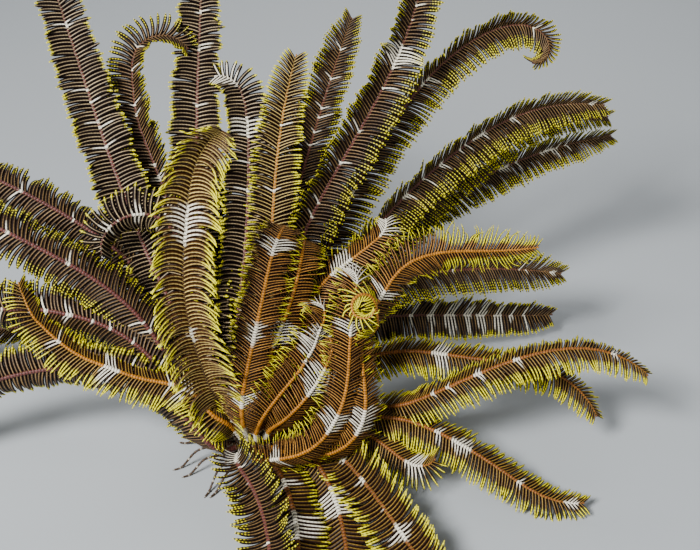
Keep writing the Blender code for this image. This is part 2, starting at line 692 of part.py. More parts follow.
def standing_rods(cirri, rays, lengths):
    """All that stands still before the pinnules come, as rods that they must clear."""
    rods = Rods()
    for points, radii in cirri:
        rods.add_path(KNOB, points, radii)
    knob, disc = max(KNOB_PROFILE), max(DISC_PROFILE)
    for body, (radius, height) in ((KNOB, knob), (DISC, disc)):
        middle = np.array([0.0, 0.0, height])
        rods.add(body, middle, middle + np.array([0.0, 0.0, MM]), radius, radius)
    rods.add_path(DISC, [np.array(p) for p in ANAL_CONE], ANAL_CONE_RADIUS)
    for ray, tubes in enumerate(rays):
        for points, radii in tubes:
            rods.add_path(FIRST_RAY + ray, points, radii)
    for arm in lengths:
        rods.add_path(arm.number, arm.points, arm.radii)
    return rods


def make_centrodorsal(cirri, parts):
    """The knob with its cirri, trimmed to flats on the floor."""
    knob = in_scene(turned("centrodorsal", KNOB_PROFILE))
    join(knob, [tube("cirrus", points, radii) for points, radii in cirri])
    join(knob, [floor_cutter()], "DIFFERENCE")
    finish(out_of_scene(knob), COLOURS["knob"], parts)


def make_disc(parts):
    """The disc with its anal cone."""
    disc = in_scene(turned("disc", DISC_PROFILE))
    join(disc, [tube("cone", ANAL_CONE, ANAL_CONE_RADIUS)])
    finish(out_of_scene(disc), COLOURS["disc"], parts)


def make_ray(ray, tubes, parts):
    """One ray, dividing to the seats of eight arms. Its tubes lie on their flat sides."""
    pieces = [tube("ray_piece", points, radii, EIGHTH) for points, radii in tubes]
    body = in_scene(pieces[0])
    body.name = "ray_" + str(ray + 1)
    join(body, pieces[1:])
    finish(out_of_scene(body), COLOURS["ray"], parts)


def make_arm(arm, line, rods, rng, parts):
    """One length of an arm with its pinnules, trimmed flat where it rests on the floor."""
    spikes = place_pinnules(arm, line, rods, rng)
    if arm.name in RESTING:
        body = in_scene(tube(arm.title, arm.points, arm.radii, EIGHTH, "Z_UP"))
    else:
        body = in_scene(tube(arm.title, arm.points, arm.radii))
    join(body, [spike("pinnule", *one) for one in spikes])
    if arm.name in RESTING:
        join(body, [floor_cutter()], "DIFFERENCE")
    finish(out_of_scene(body), COLOURS[arm.name.split("_")[0]], parts)


def build():
    """Makes every part: the crown first, then the arms with the pinnules that have room."""
    rng = random.Random(SEED)
    parts = clear_scene()
    seats = ring_of_seats()
    lines = centre_lines(seats)
    cirri = cirri_paths(rng)
    rays = [ray_tubes(ray, seats.values()) for ray in range(RAYS)]
    lengths = arm_lengths(lines)
    rods = standing_rods(cirri, rays, lengths)
    make_centrodorsal(cirri, parts)
    make_disc(parts)
    for ray, tubes in enumerate(rays):
        make_ray(ray, tubes, parts)
    for arm in lengths:
        make_arm(arm, lines[arm.row], rods, rng, parts)


build()
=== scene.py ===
"""The looks of a feather star: a cup with gripping cirri and forty feathered arms.

Everything is in metres, +Z up. The fan of arms leans back from the front, which is -Y.
"""

import math
import random
from collections import namedtuple

import bpy
import numpy as np
from bpy.props import FloatProperty, FloatVectorProperty, IntProperty, PointerProperty
from bpy.types import Operator, Panel, PropertyGroup
from mathutils import Matrix


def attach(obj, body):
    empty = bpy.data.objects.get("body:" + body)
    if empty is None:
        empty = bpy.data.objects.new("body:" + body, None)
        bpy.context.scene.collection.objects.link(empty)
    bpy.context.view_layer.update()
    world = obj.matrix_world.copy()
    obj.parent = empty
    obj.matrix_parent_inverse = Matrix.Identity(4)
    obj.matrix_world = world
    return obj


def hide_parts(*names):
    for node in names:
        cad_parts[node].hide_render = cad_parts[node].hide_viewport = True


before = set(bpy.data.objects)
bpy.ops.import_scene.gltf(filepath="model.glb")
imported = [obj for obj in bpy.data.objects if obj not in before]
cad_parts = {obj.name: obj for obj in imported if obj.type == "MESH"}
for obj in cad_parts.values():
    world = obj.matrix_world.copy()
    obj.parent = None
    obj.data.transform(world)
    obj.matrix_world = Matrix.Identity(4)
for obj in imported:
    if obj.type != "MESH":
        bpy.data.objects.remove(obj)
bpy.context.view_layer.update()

bl_info = {
    "name": "Feather Star",
    "version": (1, 0, 0),
    "blender": (4, 5, 0),
    "location": "View3D > Sidebar > Feather Star",
    "description": "Builds a life-size feather star: cup, cirri, arms and pinnules, with its stage",
    "category": "Add Mesh",
}

MM = 0.001
SEED = 23
ROUND = 2 * math.pi

# The fan of arms leans back from the front by this much. Its plane holds RIGHT and UP.
FAN_LEAN = math.radians(30)
RIGHT = np.array([1.0, 0.0, 0.0])
UP = np.array([0.0, math.sin(FAN_LEAN), math.cos(FAN_LEAN)])
TOWARD = np.array([0.0, -math.cos(FAN_LEAN), math.sin(FAN_LEAN)])

# The stage: the floor's half width and squares a side, the camera's place from the hub along RIGHT,
# UP and TOWARD, its lens and sensor in mm, and the even light from all round.
FLOOR_HALF = 1.6
FLOOR_SQUARES = 8
HUB = np.array([0.0, 0.0, 0.0095])
CAMERA_PLACE = (0.0342, 0.0558, 0.42)
CAMERA_LENS = 60.0
CAMERA_SENSOR = 36.0
CAMERA_NEAR = 0.01
SKY = (0.86, 0.90, 0.95, 1.0)
SKY_STRENGTH = 0.16

# Soft square lights: where each stands, where it looks, its size and its power.
LIGHTS = {
    "key": ((-0.45, -0.65, 0.75), (0.0, 0.0, 0.05), 0.28, 23.0),
    "fill": ((0.70, -0.45, 0.45), (0.0, 0.0, 0.05), 0.60, 1.2),
    "back": ((0.10, 0.75, 0.60), (0.0, 0.0, 0.08), 0.50, 3.0),
}

# Seats of the arms, as in the solids, in a lower and an upper tier: distance from the axis, height,
# and rise of the arm there. Over SEAT_RUN an arm turns from its seat's way to its own.
SEAT_RADIUS = (0.0112, 0.0088)
SEAT_HEIGHT = (0.0085, 0.0118)
SEAT_RISE = (math.radians(22), math.radians(58))
SEAT_RUN = 0.022
RAYS = 5
SEATS_A_RAY = 8

# Centre lines of the arms, as in the solids. Round by round, arms nearer than ARM_GAP push each
# other aside, each push spread over some steps. Near the root, over ROOT_RUN of the arm, the gap
# starts at ROOT_GAP of its size and the arm gives way less.
ARM_STEPS = 60
ARM_ROOT_RADIUS = 0.00112
ARM_TIP_RADIUS = 0.00060
ARM_GAP = 0.0042
ROOT_GAP = 0.35
ROOT_RUN = 0.12
ROOT_HELD = 0.02
SETTLE_ROUNDS = 70
SETTLE_SPREAD = 7
SETTLE_GAIN = 2.0

# Arms stay FLOOR_GAP above the floor, and those that lie on it sink to a share of their radius.
FLOOR_GAP = 0.0012
LYING_SHARE = 0.66

# Twist is worked out both ways from this share of an arm. There it starts from the front, unless
# the arm runs toward the front so straight that less than FRONT_LEAST of that way is across it.
TWIST_START = 0.3
FRONT_LEAST = 0.2

# The cup: outlines as radius and height, then the cone on the disc, and a ray's tubes, which
# fork from the stem to two knees, four splits and eight seats, as distance from the axis and
# height. A tube starts inside the one before it, and the last runs straight through its seat.
KNOB_PROFILE = ((0.0020, 0.0), (0.0036, 0.0008), (0.0046, 0.0026), (0.0045, 0.0042),
                (0.0036, 0.0055), (0.0030, 0.0066), (0.0028, 0.0090))
DISC_PROFILE = ((0.0044, 0.0086), (0.0056, 0.0095), (0.0055, 0.0108), (0.0040, 0.0121),
                (0.0014, 0.0126))
CONE_PATH = ((0.0018, -0.0006, 0.0112), (0.0022, -0.0008, 0.0150))
CONE_RADII = (0.0014, 0.0009)
STEM = ((0.0024, 0.0066), (0.0036, 0.0070), (0.0052, 0.0070))
STEM_RADII = (0.0013, 0.0013, 0.00125)
KNEE = (0.0066, 0.0076)
KNEE_RADII = (0.0009, 0.0012, 0.00105)
SPLIT = (0.0070, 0.0079)
SPLIT_RADII = (0.0009, 0.00105, 0.0009)
SEAT_RADII = (0.0008, 0.00088, 0.00102, 0.00106)
SEAT_BEFORE = 0.0016
SEAT_PAST = 0.0004
FORK_OVERLAP = 0.2

# Rings and sides of those forms, the sockets of the cirri as waves on the knob, and the grooves of
# the rays on the disc from a height upward.
TUBE_RINGS = 14
TUBE_SIDES = 12
KNOB_RINGS = 30
DISC_RINGS = 24
LATHE_SIDES = 60
SOCKET_DEPTH = 0.035
SOCKET_PITCH = 2400.0
DISC_GROOVE = 0.04
DISC_GROOVE_FROM = 0.009
SOFTEN = 0.5
SOFTEN_ROUNDS = 2
UPRIGHT_LEAST = 0.05

# The cup's bake map is taken round this point, and made narrower to hold the faces on its seam.
CUP_MIDDLE = (0.0, 0.0, 0.0065)
CUP_MAP_WIDTH = 0.93

# The cirri, as in the solids: lengths by turns, heights by turns where they leave the knob, and
# how far azimuth, drift and lift vary by chance. On the clasping side, its azimuth in degrees,
# they reach farther and arch higher.
CIRRI = 20
CIRRUS_START = 0.0030
CIRRUS_LENGTHS = (0.0245, 0.0215, 0.0185, 0.0215, 0.0245)
CIRRUS_HEIGHTS = (0.0020, 0.0031, 0.0041)
CIRRUS_STRAY = 0.07
CIRRUS_DRIFT = 0.16
CIRRUS_LIFT = (0.7, 1.25)
CLASPING_SIDE = 215
CLASPING_REACH = 0.011
CLASPING_ARCH = 0.0034

# Points of a cirrus: shares of its reach and drift, then what its height is made of: shares of the
# height at the knob, of the lift in metres and of the arch, and metres from the floor.
CIRRUS_POINTS = (
    (0.0, 0.0, 1.0, 0.0, 0.0, 0.0), (0.13, 0.1, 1.0, 0.0009, 0.0, 0.0),
    (0.38, 0.3, 1.0, 0.0011, 0.4, 0.0), (0.66, 0.6, 0.55, 0.0010, 1.0, 0.0),
    (0.87, 0.85, 0.0, 0.0, 0.0, 0.00085), (1.0, 1.0, 0.0, 0.0, 0.0, 0.00030),
)

# Three rings a segment: place along it, width and darkness of the joint. A cirrus thins toward its
# claw, which closes fast at its end. Of each nine rings two are paler.
CIRRUS_SEGMENT = ((0.08, 0.84, 1.0), (0.5, 1.0, 0.0), (0.92, 1.1, 0.3))
CIRRUS_SIDES = 8
CIRRUS_THINNING = 0.35
CLAW_END = 0.25
CLAW_SLOPE = 14
CIRRUS_BANDS = (9, 2)
CIRRUS_PALER = 0.3
CIRRUS_TONE = 0.6
CIRRUS_SHADE = 0.38

# One row an arm: length in mm, then its heading in the fan plane and its lean out of that plane
# toward the front, both in degrees at even steps from root to tip, then the way its mouth side
# faces, 0 to the front and 180 to the back.
ARMS = {
    "tall_1": (196, (113, 115, 110, 109), (-6, -14, -10, -6), 10),
    "tall_2": (174, (94, 100, 103, 104, 105, 106, 108, 112, 112, 98, 86, 15, -55),
               (-14, -16, -18, -14, -10, -8, -5, 0), -20),
    "tall_3": (186, (92, 98, 93, 89, 89), (-10, -16, -10, -5), 0),
    "tall_4": (100, (84, 94, 97, 97), (-25, -25, -20, -20), 0),
    "tall_5": (134, (78, 80, 82, 83, 85, 87, 89, 91, 95, 112, 190), (5, -5, -10, -5), 10),
    "tall_6": (132, (66, 74, 86, 83, 74), (10, 5, 0, 0), 0),
    "tall_7": (168, (70, 79, 75, 71), (-20, -22, -18, -12), 0),
    "tall_8": (184, (78, 74, 60, 66, 86), (5, 0, 0, 0), 20),
    "sweep_1": (206, (70, 70, 69, 69, 68, 67, 65, 61, 58, 54, 49, 40, 28, 4, -60, -185),
                (-8, -8, -6, -4, 0, 5), 42),
    "sweep_2": (187, (67, 61, 46, 30, -8), (-12, -14, -8, 0), 42),
    "sweep_3": (196, (60, 58, 47, 33, -12), (-24, -24, -14, -6), 42),
    "sweep_4": (196, (66, 50, 36, 25, 8), (-20, -20, -10, 0), 42),
    "right_1": (92, (58, 50, 48, 46, 44, 44, 48, 58, 78, 116, 215, 325, 440),
                (36, 30, 14, 14, 44, 18, 0), 285),
    "right_2": (146, (68, 60, 18, 2, -7), (-24, -26, -20, -10), 35),
    "right_3": (143, (62, 38, 4, -1, 1), (-30, -28, -20, -10), 35),
    "right_4": (133, (28, 26, -6, -10, -66), (20, 12, 5, 0), 140),
    "right_5": (142, (-26, -2, 23, 22, 2, -44), (40, 30, 10, 0, 0), 140),
    "right_6": (116, (14, 4, -6, -22, -32, -30, 6), (45, 28, 16, 10, 6), 142),
    "right_7": (62, (4, -4, -8, -14, -36, -20, 60), (44, 38, 30, 24, 20, 30), 150),
    "floor_1": (120, (-20, -70, -84, -84), (38, 44, 54, 60), 0),
    "floor_2": (140, (-34, -84, -99, -96), (38, 44, 54, 58), 180),
    "floor_3": (146, (-30, -76, -90, -86), (36, 44, 52, 56), 180),
    "floor_4": (140, (-20, -48, -50, -44), (34, 42, 46, 50), 0),
    "front_1": (149, (0, 0, 14, 58, 93, 92, 62, 56, 20, 2, 2, 8),
                (50, 40, 20, 8, 0, -4, -6, -8, -6, -4, 0, 0), 212),
    "front_2": (104, (14, 14, 12, 12, 28, 52, 66, 80, 87, 86, 85, 84, 190),
                (56, 50, 40, 24, 12, 4, 0, 0, 0, 0, -4, -10, -40), 214),
    "front_3": (102, (96, 92, 80, 77, 78, 77, 66, 60), (50, 46, 16, 8, 4, -10, -60, -150), 180),
    "front_4": (92, (116, 110, 98, 70, 70, 78, 84, 84), (40, 34, 16, 6, 0, -10, -60, -140), 180),
    "front_5": (68, (84, 74, 60, 55, 52, 50, 56, 62, 70, 100, 220),
                (50, 48, 40, 25, 15, 10, 8, 4, 0, -10, -20), 222),
    "front_6": (61, (10, 16, 26, 42, 48, 54, 62, 72, 130, 220),
                (60, 56, 44, 28, 16, 10, 6, 0, -15, -30), 210),
    "front_7": (92, (74, 74, 76, 80, 84, 84, 70, 48, 37, 38, 48, 110),
                (40, 34, 20, 12, 8, 4, 0, 0, 0, 0, -10, -60), 150),
    "left_1": (132, (92, 104, 99, 86, 74, 10), (34, 42, 34, 15, 20, 75), 0),
    "left_2": (103, (130, 136, 138, 168, 164, 156, 142, 126, 104),
               (30, 24, 14, 6, 0, 0, 0, 0, 0), 215),
    "left_3": (166, (96, 108, 142, 154, 158), (5, 0, 5, 5), 200),
    "left_4": (158, (94, 114, 146, 154, 157), (20, 15, 10, 5), 200),
    "left_5": (155, (98, 126, 168, 186, 190), (12, 8, 0, 0), 170),
    "left_6": (160, (108, 148, 188, 208, 206), (8, 5, 0, 0), 160),
    "left_7": (158, (100, 150, 177, 190, 194), (-15, -15, -10, 0), 20),
    "left_8": (114, (96, 98, 99, 97, 96, 95, 120, 176, 224, 290), (14, 18, 20, 20, 8, 0), 150),
    "back_1": (160, (60, 45, 30), (-52, -62, -60), 0),
    "back_2": (160, (110, 125, 140), (-52, -62, -60), 0),
}

# The arms in the order of their seats round the cup, from the front left and on to the right, and
# by turns in the lower and the upper tier. The first seat lies at this azimuth.
RING = ("floor_1", "front_3", "front_2", "front_5", "floor_2", "front_6", "front_1", "front_4",
        "floor_3", "right_1", "floor_4", "front_7", "right_7", "right_2", "right_6", "sweep_3",
        "right_5", "sweep_2", "right_4", "sweep_1", "right_3", "tall_8", "sweep_4", "tall_7",
        "back_1", "tall_6", "back_2", "tall_5", "left_8", "tall_4", "left_7", "tall_3",
        "left_3", "tall_2", "left_4", "tall_1", "left_5", "left_1", "left_6", "left_2")
RING_START = math.radians(-108)

# Arms that come down to the floor and lie on it.
RESTING = ("floor_1", "floor_2", "floor_3", "floor_4", "back_1", "back_2", "left_6", "right_6")

# Kinds of arm: how each is feathered. Length and spacing of the pinnules on one side are in mm,
# and their width a share of the spacing. Tip is the width there as a share of the root's. Angles
# are a pinnule's to the arm at its root and tip, and folds its turn to the mouth side there, in
# degrees. Rachis is a share of RACHIS_RADIUS. Yellow starts at a share of the pinnule and may be
# dotted, a white band reaches out to a share of it, and the painted highlight along a pinnule's
# crest fades toward the tip. Hooks bend the tips by chance, in degrees. The painted highlight
# starts at the ridge's share of the way to a pinnule's crest; below it the flanks keep their
# painted shade.
Kind = namedtuple(
    "Kind", "length spacing width tip angles folds rachis yellow dotted white fade hook ridge")
KINDS = {
    "deep": Kind(11.6, 1.35, 1.22, 0.92, (60, 98), (18, 46), 0.95, 0.52, 0.95, 0.22, 0.5, 5, 0.72),
    "fine": Kind(11.6, 1.12, 1.18, 0.95, (58, 92), (18, 46), 0.95, 0.46, 0.92, 0.25, 0.5, 4, 0.68),
    "upright": Kind(11.2, 1.5, 1.2, 0.92, (76, 112), (14, 36), 1.0, 0.8, 0.4, 0.4, 0.2, 5, 0.76),
    "slim": Kind(10.6, 1.3, 1.12, 0.8, (64, 90), (12, 36), 0.85, 0.66, 0.2, 0.3, 0.1, 6, 0.72),
    "gold": Kind(10.2, 1.18, 1.08, 0.82, (62, 84), (12, 40), 0.92, 0.46, 0.25, 0.5, 0.15, 7, 0.68),
    "copper": Kind(10.8, 1.06, 1.04, 0.45, (60, 84), (10, 34), 0.88, 0.66, 0.1, 0.62, 0.15, 18,
                   0.7),
    "cream": Kind(13.6, 1.4, 1.22, 0.85, (54, 132), (26, 44), 0.9, 0.6, 0.0, 0.42, 0.0, 6, 0.68),
    "dusky": Kind(11.6, 1.45, 1.18, 0.88, (72, 106), (14, 38), 0.92, 0.6, 0.2, 0.75, 0.3, 6, 0.74),
    "barred": Kind(10.6, 1.3, 1.2, 0.95, (74, 96), (14, 44), 0.9, 0.7, 0.5, 0.85, 0.4, 4, 0.66),
}
KINDS["reed"] = KINDS["gold"]

# Each kind's colours: of the rachis, of the pinnules' flanks, darkened as painted shade between
# the pinnules, and of the line along their crests, a painted highlight in their own paler hue.
COATS = {
    "deep": ("maroon", "deep", "tan"),
    "fine": ("maroon", "deep", "tan"),
    "upright": ("maroon", "deep", "ivory"),
    "slim": ("copper", "shaded_brown", "cream"),
    "gold": ("copper", "shaded_brown", "gilt"),
    "reed": ("russet", "shaded_brown", "gilt"),
    "copper": ("copper", "shaded_brown", "amber"),
    "cream": ("golden", "golden", "cream"),
    "dusky": ("umber", "shaded_brown", "gilt"),
    "barred": ("maroon", "deep", "tan"),
}

# Arms of each kind. The others are deep.
KIND_ARMS = {
    "fine": "sweep_1 sweep_2 sweep_3 sweep_4 right_2",
    "upright": "tall_1 tall_3 tall_5 left_8",
    "slim": "tall_6",
    "gold": "right_1 left_2",
    "reed": "right_4 right_5 right_6 right_7",
    "copper": "front_1 front_2 front_3 front_4 front_5 front_6 front_7",
    "cream": "left_1",
    "dusky": "floor_2 floor_3 floor_4",
    "barred": "right_3 left_6",
}
ARM_KIND = {name: kind for kind, names in KIND_ARMS.items() for name in names.split()}

# Ends of arms where the pinnules are yellow nearly to their roots: from a share of the arm, then
# their length there as a share, and in degrees their added bend and tangle. The yellow comes in
# over GILT_EDGE of the arm, and starts nearer the root of a pinnule by GILT_SHIFT of its length.
Gilt = namedtuple("Gilt", "start shorter bend tangle")
GILDED = {"front_1": Gilt(0.74, 1.0, 0, 14), "right_1": Gilt(0.58, 0.60, 25, 45)}
NO_GILT = Gilt(2.0, 1.0, 0, 0)
GILT_EDGE = 0.05
GILT_SHIFT = 0.40
TANGLE_LENGTH = 0.004

# White bands of the arms seen best: centre and half width as shares of the arm's length, and where
# it isn't the kind's own, how far out on the pinnules the white reaches.
BANDS = {
    "tall_1": ((0.30, 0.003), (0.45, 0.003), (0.60, 0.004), (0.72, 0.003), (0.86, 0.003)),
    "tall_2": ((0.30, 0.004), (0.44, 0.006), (0.52, 0.004), (0.60, 0.004), (0.72, 0.004)),
    "tall_3": ((0.56, 0.004), (0.66, 0.004), (0.78, 0.004), (0.86, 0.004), (0.95, 0.004)),
    "tall_5": ((0.30, 0.004), (0.62, 0.006), (0.80, 0.028, 0.75), (0.97, 0.040, 0.9)),
    "tall_6": ((0.42, 0.004), (0.62, 0.004), (0.80, 0.004)),
    "tall_7": ((0.65, 0.003), (0.685, 0.004), (0.725, 0.003), (0.75, 0.004), (0.83, 0.0045),
               (0.91, 0.0045)),
    "tall_8": ((0.34, 0.004), (0.52, 0.004), (0.69, 0.003, 0.5), (0.757, 0.022, 1.1)),
    "sweep_1": ((0.30, 0.006, 0.15), (0.42, 0.010, 0.12), (0.56, 0.008, 0.12), (0.66, 0.006, 0.15)),
    "sweep_2": ((0.40, 0.012, 0.12), (0.52, 0.010, 0.18), (0.62, 0.006, 0.2), (0.72, 0.02, 0.12),
                (0.80, 0.006, 0.2)),
    "sweep_3": ((0.45, 0.012, 0.12), (0.60, 0.012, 0.15), (0.75, 0.02, 0.10)),
    "sweep_4": ((0.44, 0.02, 0.10), (0.54, 0.014, 0.16), (0.64, 0.03, 0.10), (0.76, 0.014, 0.16),
                (0.86, 0.02, 0.10)),
    "right_1": ((0.28, 0.02), (0.55, 0.015)),
    "right_2": ((0.97, 0.008),),
    "right_3": ((0.56, 0.006, 0.6), (0.62, 0.010, 0.8), (0.68, 0.016, 0.9), (0.735, 0.012, 0.8),
                (0.775, 0.013, 0.9), (0.83, 0.012, 0.9), (0.87, 0.005, 0.8), (0.91, 0.005, 0.7)),
    "right_4": ((0.52, 0.02, 0.9), (0.68, 0.010, 0.9)),
    "right_5": ((0.26, 0.03), (0.44, 0.005, 0.2), (0.48, 0.005, 0.2), (0.56, 0.012, 0.2),
                (0.66, 0.010, 0.2), (0.90, 0.008, 0.2)),
    "right_6": ((0.52, 0.010, 0.3), (0.60, 0.035, 0.35), (0.80, 0.01, 0.2), (0.96, 0.02)),
    "right_7": ((0.85, 0.05, 1.0),),
    "floor_1": ((0.03, 0.07, 0.6), (0.40, 0.005)),
    "floor_2": ((0.16, 0.012, 0.5), (0.28, 0.035, 1.0), (0.60, 0.02)),
    "floor_3": ((0.255, 0.035, 1.0), (0.50, 0.03), (0.78, 0.02)),
    "floor_4": ((0.20, 0.008, 0.2), (0.28, 0.012, 0.12), (0.46, 0.03, 0.25), (0.66, 0.02)),
    "front_1": ((0.30, 0.030), (0.52, 0.028, 0.5), (0.60, 0.012)),
    "front_2": ((0.03, 0.07, 0.6), (0.22, 0.018), (0.46, 0.036, 0.45), (0.772, 0.024),
                (0.96, 0.045, 1.1)),
    "front_3": ((0.03, 0.08, 0.6), (0.24, 0.025), (0.475, 0.05, 0.12), (0.77, 0.03)),
    "front_4": ((0.06, 0.03), (0.48, 0.05, 0.5)),
    "front_5": ((0.05, 0.04), (0.72, 0.09), (0.95, 0.04, 1.1)),
    "front_6": ((0.06, 0.04), (0.61, 0.09), (0.93, 0.04, 1.1)),
    "front_7": ((0.72, 0.05), (0.96, 0.05, 1.1)),
    "left_1": ((0.06, 0.03), (0.40, 0.03, 0.06), (0.685, 0.050, 0.42)),
    "left_2": ((0.04, 0.04, 0.3), (0.30, 0.02, 0.9), (0.36, 0.008), (0.56, 0.025, 0.9),
               (0.76, 0.008)),
    "left_8": ((0.72, 0.012), (0.80, 0.02), (0.90, 0.012)),
}

# Arms without their own have this many bands by chance, each value the lowest and how much more it
# may be. Some kinds have narrow specks by chance too. NO_WHITE is the reach between the bands.
CHANCE_BANDS = 6
CHANCE_CENTRE = (0.15, 0.75)
CHANCE_HALF = (0.0025, 0.004)
CHANCE_REACH = (0.15, 0.35)
SPECKS = {"deep": 10, "upright": 8, "fine": 8}
SPECK_HALF = 0.0026
SPECK_REACH = 0.35
NO_WHITE = -0.3
PALE_STEPS = 4001

# The rachis: its radius in mm at shares of the arm's length, and where its kind's share of that
# comes in. Its drums are a share of the pinnules' spacing long, with four rings each: place along
# the drum, width, bulge of the socket, and darkness of the joint.
RACHIS_RADIUS = ((0.0, 0.10, 0.30, 0.60, 0.85, 1.0), (1.06, 0.88, 0.78, 0.70, 0.54, 0.26))
RACHIS_CHANGE = (0.03, 0.16)
RACHIS_SIDES = 8
RACHIS_FLAT = 0.9
RACHIS_ENDS = (0.86, 0.5)
GROOVE_DEPTH = 0.30
GROOVE_WIDTH = 0.35
DRUM_LENGTH = 0.82
DRUM = ((0.05, 0.86, 0.0, 1.0), (0.30, 1.03, 0.08, 0.10), (0.68, 1.08, 0.18, 0.0),
        (0.95, 0.90, 0.04, 0.75))

# The pinnules: where on the arm they start and stop, steps along one, its depth as a share of the
# spacing, its length and width as shares along the arm, and how high it stays above the floor.
PINNULE_START = 0.0045
PINNULE_STOP = 0.0008
PINNULE_RINGS = 12
PINNULE_SIDES = 4
PINNULE_DEPTH = 0.30
PINNULE_LENGTH = ((0.0, 0.05, 0.12, 0.28, 0.70, 0.92, 1.0), (0.6, 0.75, 0.9, 1.0, 1.0, 0.80, 0.42))
PINNULE_WIDTH = ((0.0, 0.85, 1.0), (1.0, 1.0, 0.8))
PINNULE_FLOOR = 0.0004

# It narrows to its tip over one stretch of itself, closes at its end, and hooks over another.
NARROWING = (0.40, 0.80)
CLOSING = (0.22, 4.5)
HOOKING = (0.4, 1.0)

# What varies, as shares: by chance, and with a wave that this many neighbours share.
LENGTH_CHANCE = 0.045
WIDTH_CHANCE = 0.06
PALE_CHANCE = 0.10
YELLOW_CHANCE = 0.045
YELLOW_WAVE = 0.03
WAVE_SPREAD = 15
WAVE_SCALE = 2.7

# A pinnule's angle to the arm at its root and tip, then its fold there: what each gains in degrees
# toward the arm's tip, near its root, with the wave and by chance, and which chance it takes. The
# second one also closes toward the arm's tip, by a share of what it is above CLOSED_ANGLE.
ARM_TIP = (0.86, 1.0)
ARM_ROOT = (0.02, 0.16)
SWAY = ((-22, 0, 3.0, 2.0, 0), (0, 0, 6.0, 4.0, 1), (0, 18, 0.0, 2.5, 1), (-14, 30, 8.0, 4.0, 2))
CLOSED_ANGLE = 30
CLOSED_SHARE = 0.55

# The bake map: margin, the rachis' strip, the strips of the pinnules in two columns and how much of
# a strip is used, the same for the cirri, and the end caps as shares of a strip's height.
MAP_LEFT = 0.01
MAP_RIGHT = 0.99
RACHIS_STRIP = (0.90, 0.99)
PINNULE_STRIPS = 0.88
PINNULE_COLUMNS = (0.01, 0.51)
COLUMN_WIDTH = 0.48
STRIP_USED = (0.12, 0.88)
CIRRUS_COLUMN = (0.02, 0.98)
CIRRUS_USED = (0.1, 0.9)
CAP_SIZE = 0.3
CAP_FLAT = 0.3

# Beads along a pinnule, in radians over its length: lemon dots and small joints follow them.
BEADS = 58.0
COLOUR = {"subtype": "COLOR", "min": 0.0, "max": 1.0}


class FeatherStarSizes(PropertyGroup):
    """Sizes of the fine surface that a user would change."""

    pinnule_length: FloatProperty(
        name="Pinnule length", description="Length of the pinnules, as a share of the usual one",
        default=1.0, min=0.5, max=1.3, subtype="FACTOR")
    pinnule_width: FloatProperty(
        name="Pinnule width", description="Width of the pinnules, as a share of the usual one",
        default=1.0, min=0.2, max=1.2, subtype="FACTOR")
    pinnule_spacing: FloatProperty(
        name="Pinnule spacing", description="Spacing of the pinnules, as a share of the usual one",
        default=1.0, min=0.8, max=2.0, subtype="FACTOR")
    cirrus_radius: FloatProperty(
        name="Cirrus radius", description="Radius of a cirrus at its root",
        default=0.00055, min=0.0002, max=0.001, subtype="DISTANCE", unit="LENGTH")
    cirrus_segments: IntProperty(
        name="Cirrus segments", description="Number of small plates in a cirrus",
        default=22, min=8, max=40)
    cup_voxel: FloatProperty(
        name="Cup grain", description="Size of the smallest form of the cup",
        default=0.00026, min=0.0002, max=0.001, subtype="DISTANCE", unit="LENGTH")


class FeatherStarColours(PropertyGroup):
    """Colours of the animal and its stage."""

    maroon: FloatVectorProperty(
        name="Maroon rachis", description="Rachis of the far arms",
        default=(0.125, 0.034, 0.027), **COLOUR)
    copper: FloatVectorProperty(
        name="Copper rachis", description="Rachis of the near arms",
        default=(0.440, 0.165, 0.008), **COLOUR)
    russet: FloatVectorProperty(
        name="Russet rachis", description="Rachis of the arms at the right",
        default=(0.260, 0.085, 0.010), **COLOUR)
    umber: FloatVectorProperty(
        name="Umber rachis", description="Rachis of the arms that lie on the floor in front",
        default=(0.190, 0.062, 0.010), **COLOUR)
    # The two flank colours below darken the pinnules' flanks as painted shade, so the gaps between
    # the pinnules look dark.
    deep: FloatVectorProperty(
        name="Deep pinnules", description="Flanks of the pinnules of the far arms",
        default=(0.011, 0.005, 0.004), **COLOUR)
    shaded_brown: FloatVectorProperty(
        name="Brown pinnules", description="Flanks of the pinnules of the near arms",
        default=(0.019, 0.006, 0.003), **COLOUR)
    # On the broad arm's rachis this is its own colour; on its pinnules' flanks it is painted shade
    # between the pinnules.
    golden: FloatVectorProperty(
        name="Golden arm", description="Rachis and pinnules of the broad arm at the left",
        default=(0.048, 0.017, 0.003), **COLOUR)
    # The five line colours below are painted highlights along the pinnules' crests, in each kind's
    # own paler hue.
    tan: FloatVectorProperty(
        name="Tan line", description="Line along the pinnules of the far arms",
        default=(0.400, 0.240, 0.085), **COLOUR)
    ivory: FloatVectorProperty(
        name="Ivory line", description="Line along the pinnules of the upright arms",
        default=(0.920, 0.700, 0.380), **COLOUR)
    gilt: FloatVectorProperty(
        name="Gilt line", description="Line along the pinnules of the arms at the right",
        default=(0.560, 0.340, 0.050), **COLOUR)
    amber: FloatVectorProperty(
        name="Amber line", description="Line along the front pinnules",
        default=(0.900, 0.420, 0.070), **COLOUR)
    cream: FloatVectorProperty(
        name="Cream line", description="Line along the pinnules of the broad arm",
        default=(0.960, 0.700, 0.200), **COLOUR)
    white: FloatVectorProperty(
        name="White bands", description="Bands across rachis and pinnules",
        default=(0.980, 0.910, 0.730), **COLOUR)
    lemon: FloatVectorProperty(
        name="Lemon tips", description="Outer part of the pinnules",
        default=(0.990, 0.900, 0.014), **COLOUR)
    cup: FloatVectorProperty(
        name="Cup", description="Centrodorsal, rays and disc",
        default=(0.150, 0.075, 0.028), **COLOUR)
    floor: FloatVectorProperty(
        name="Floor", description="Plain floor", default=(0.44, 0.47, 0.49), **COLOUR)


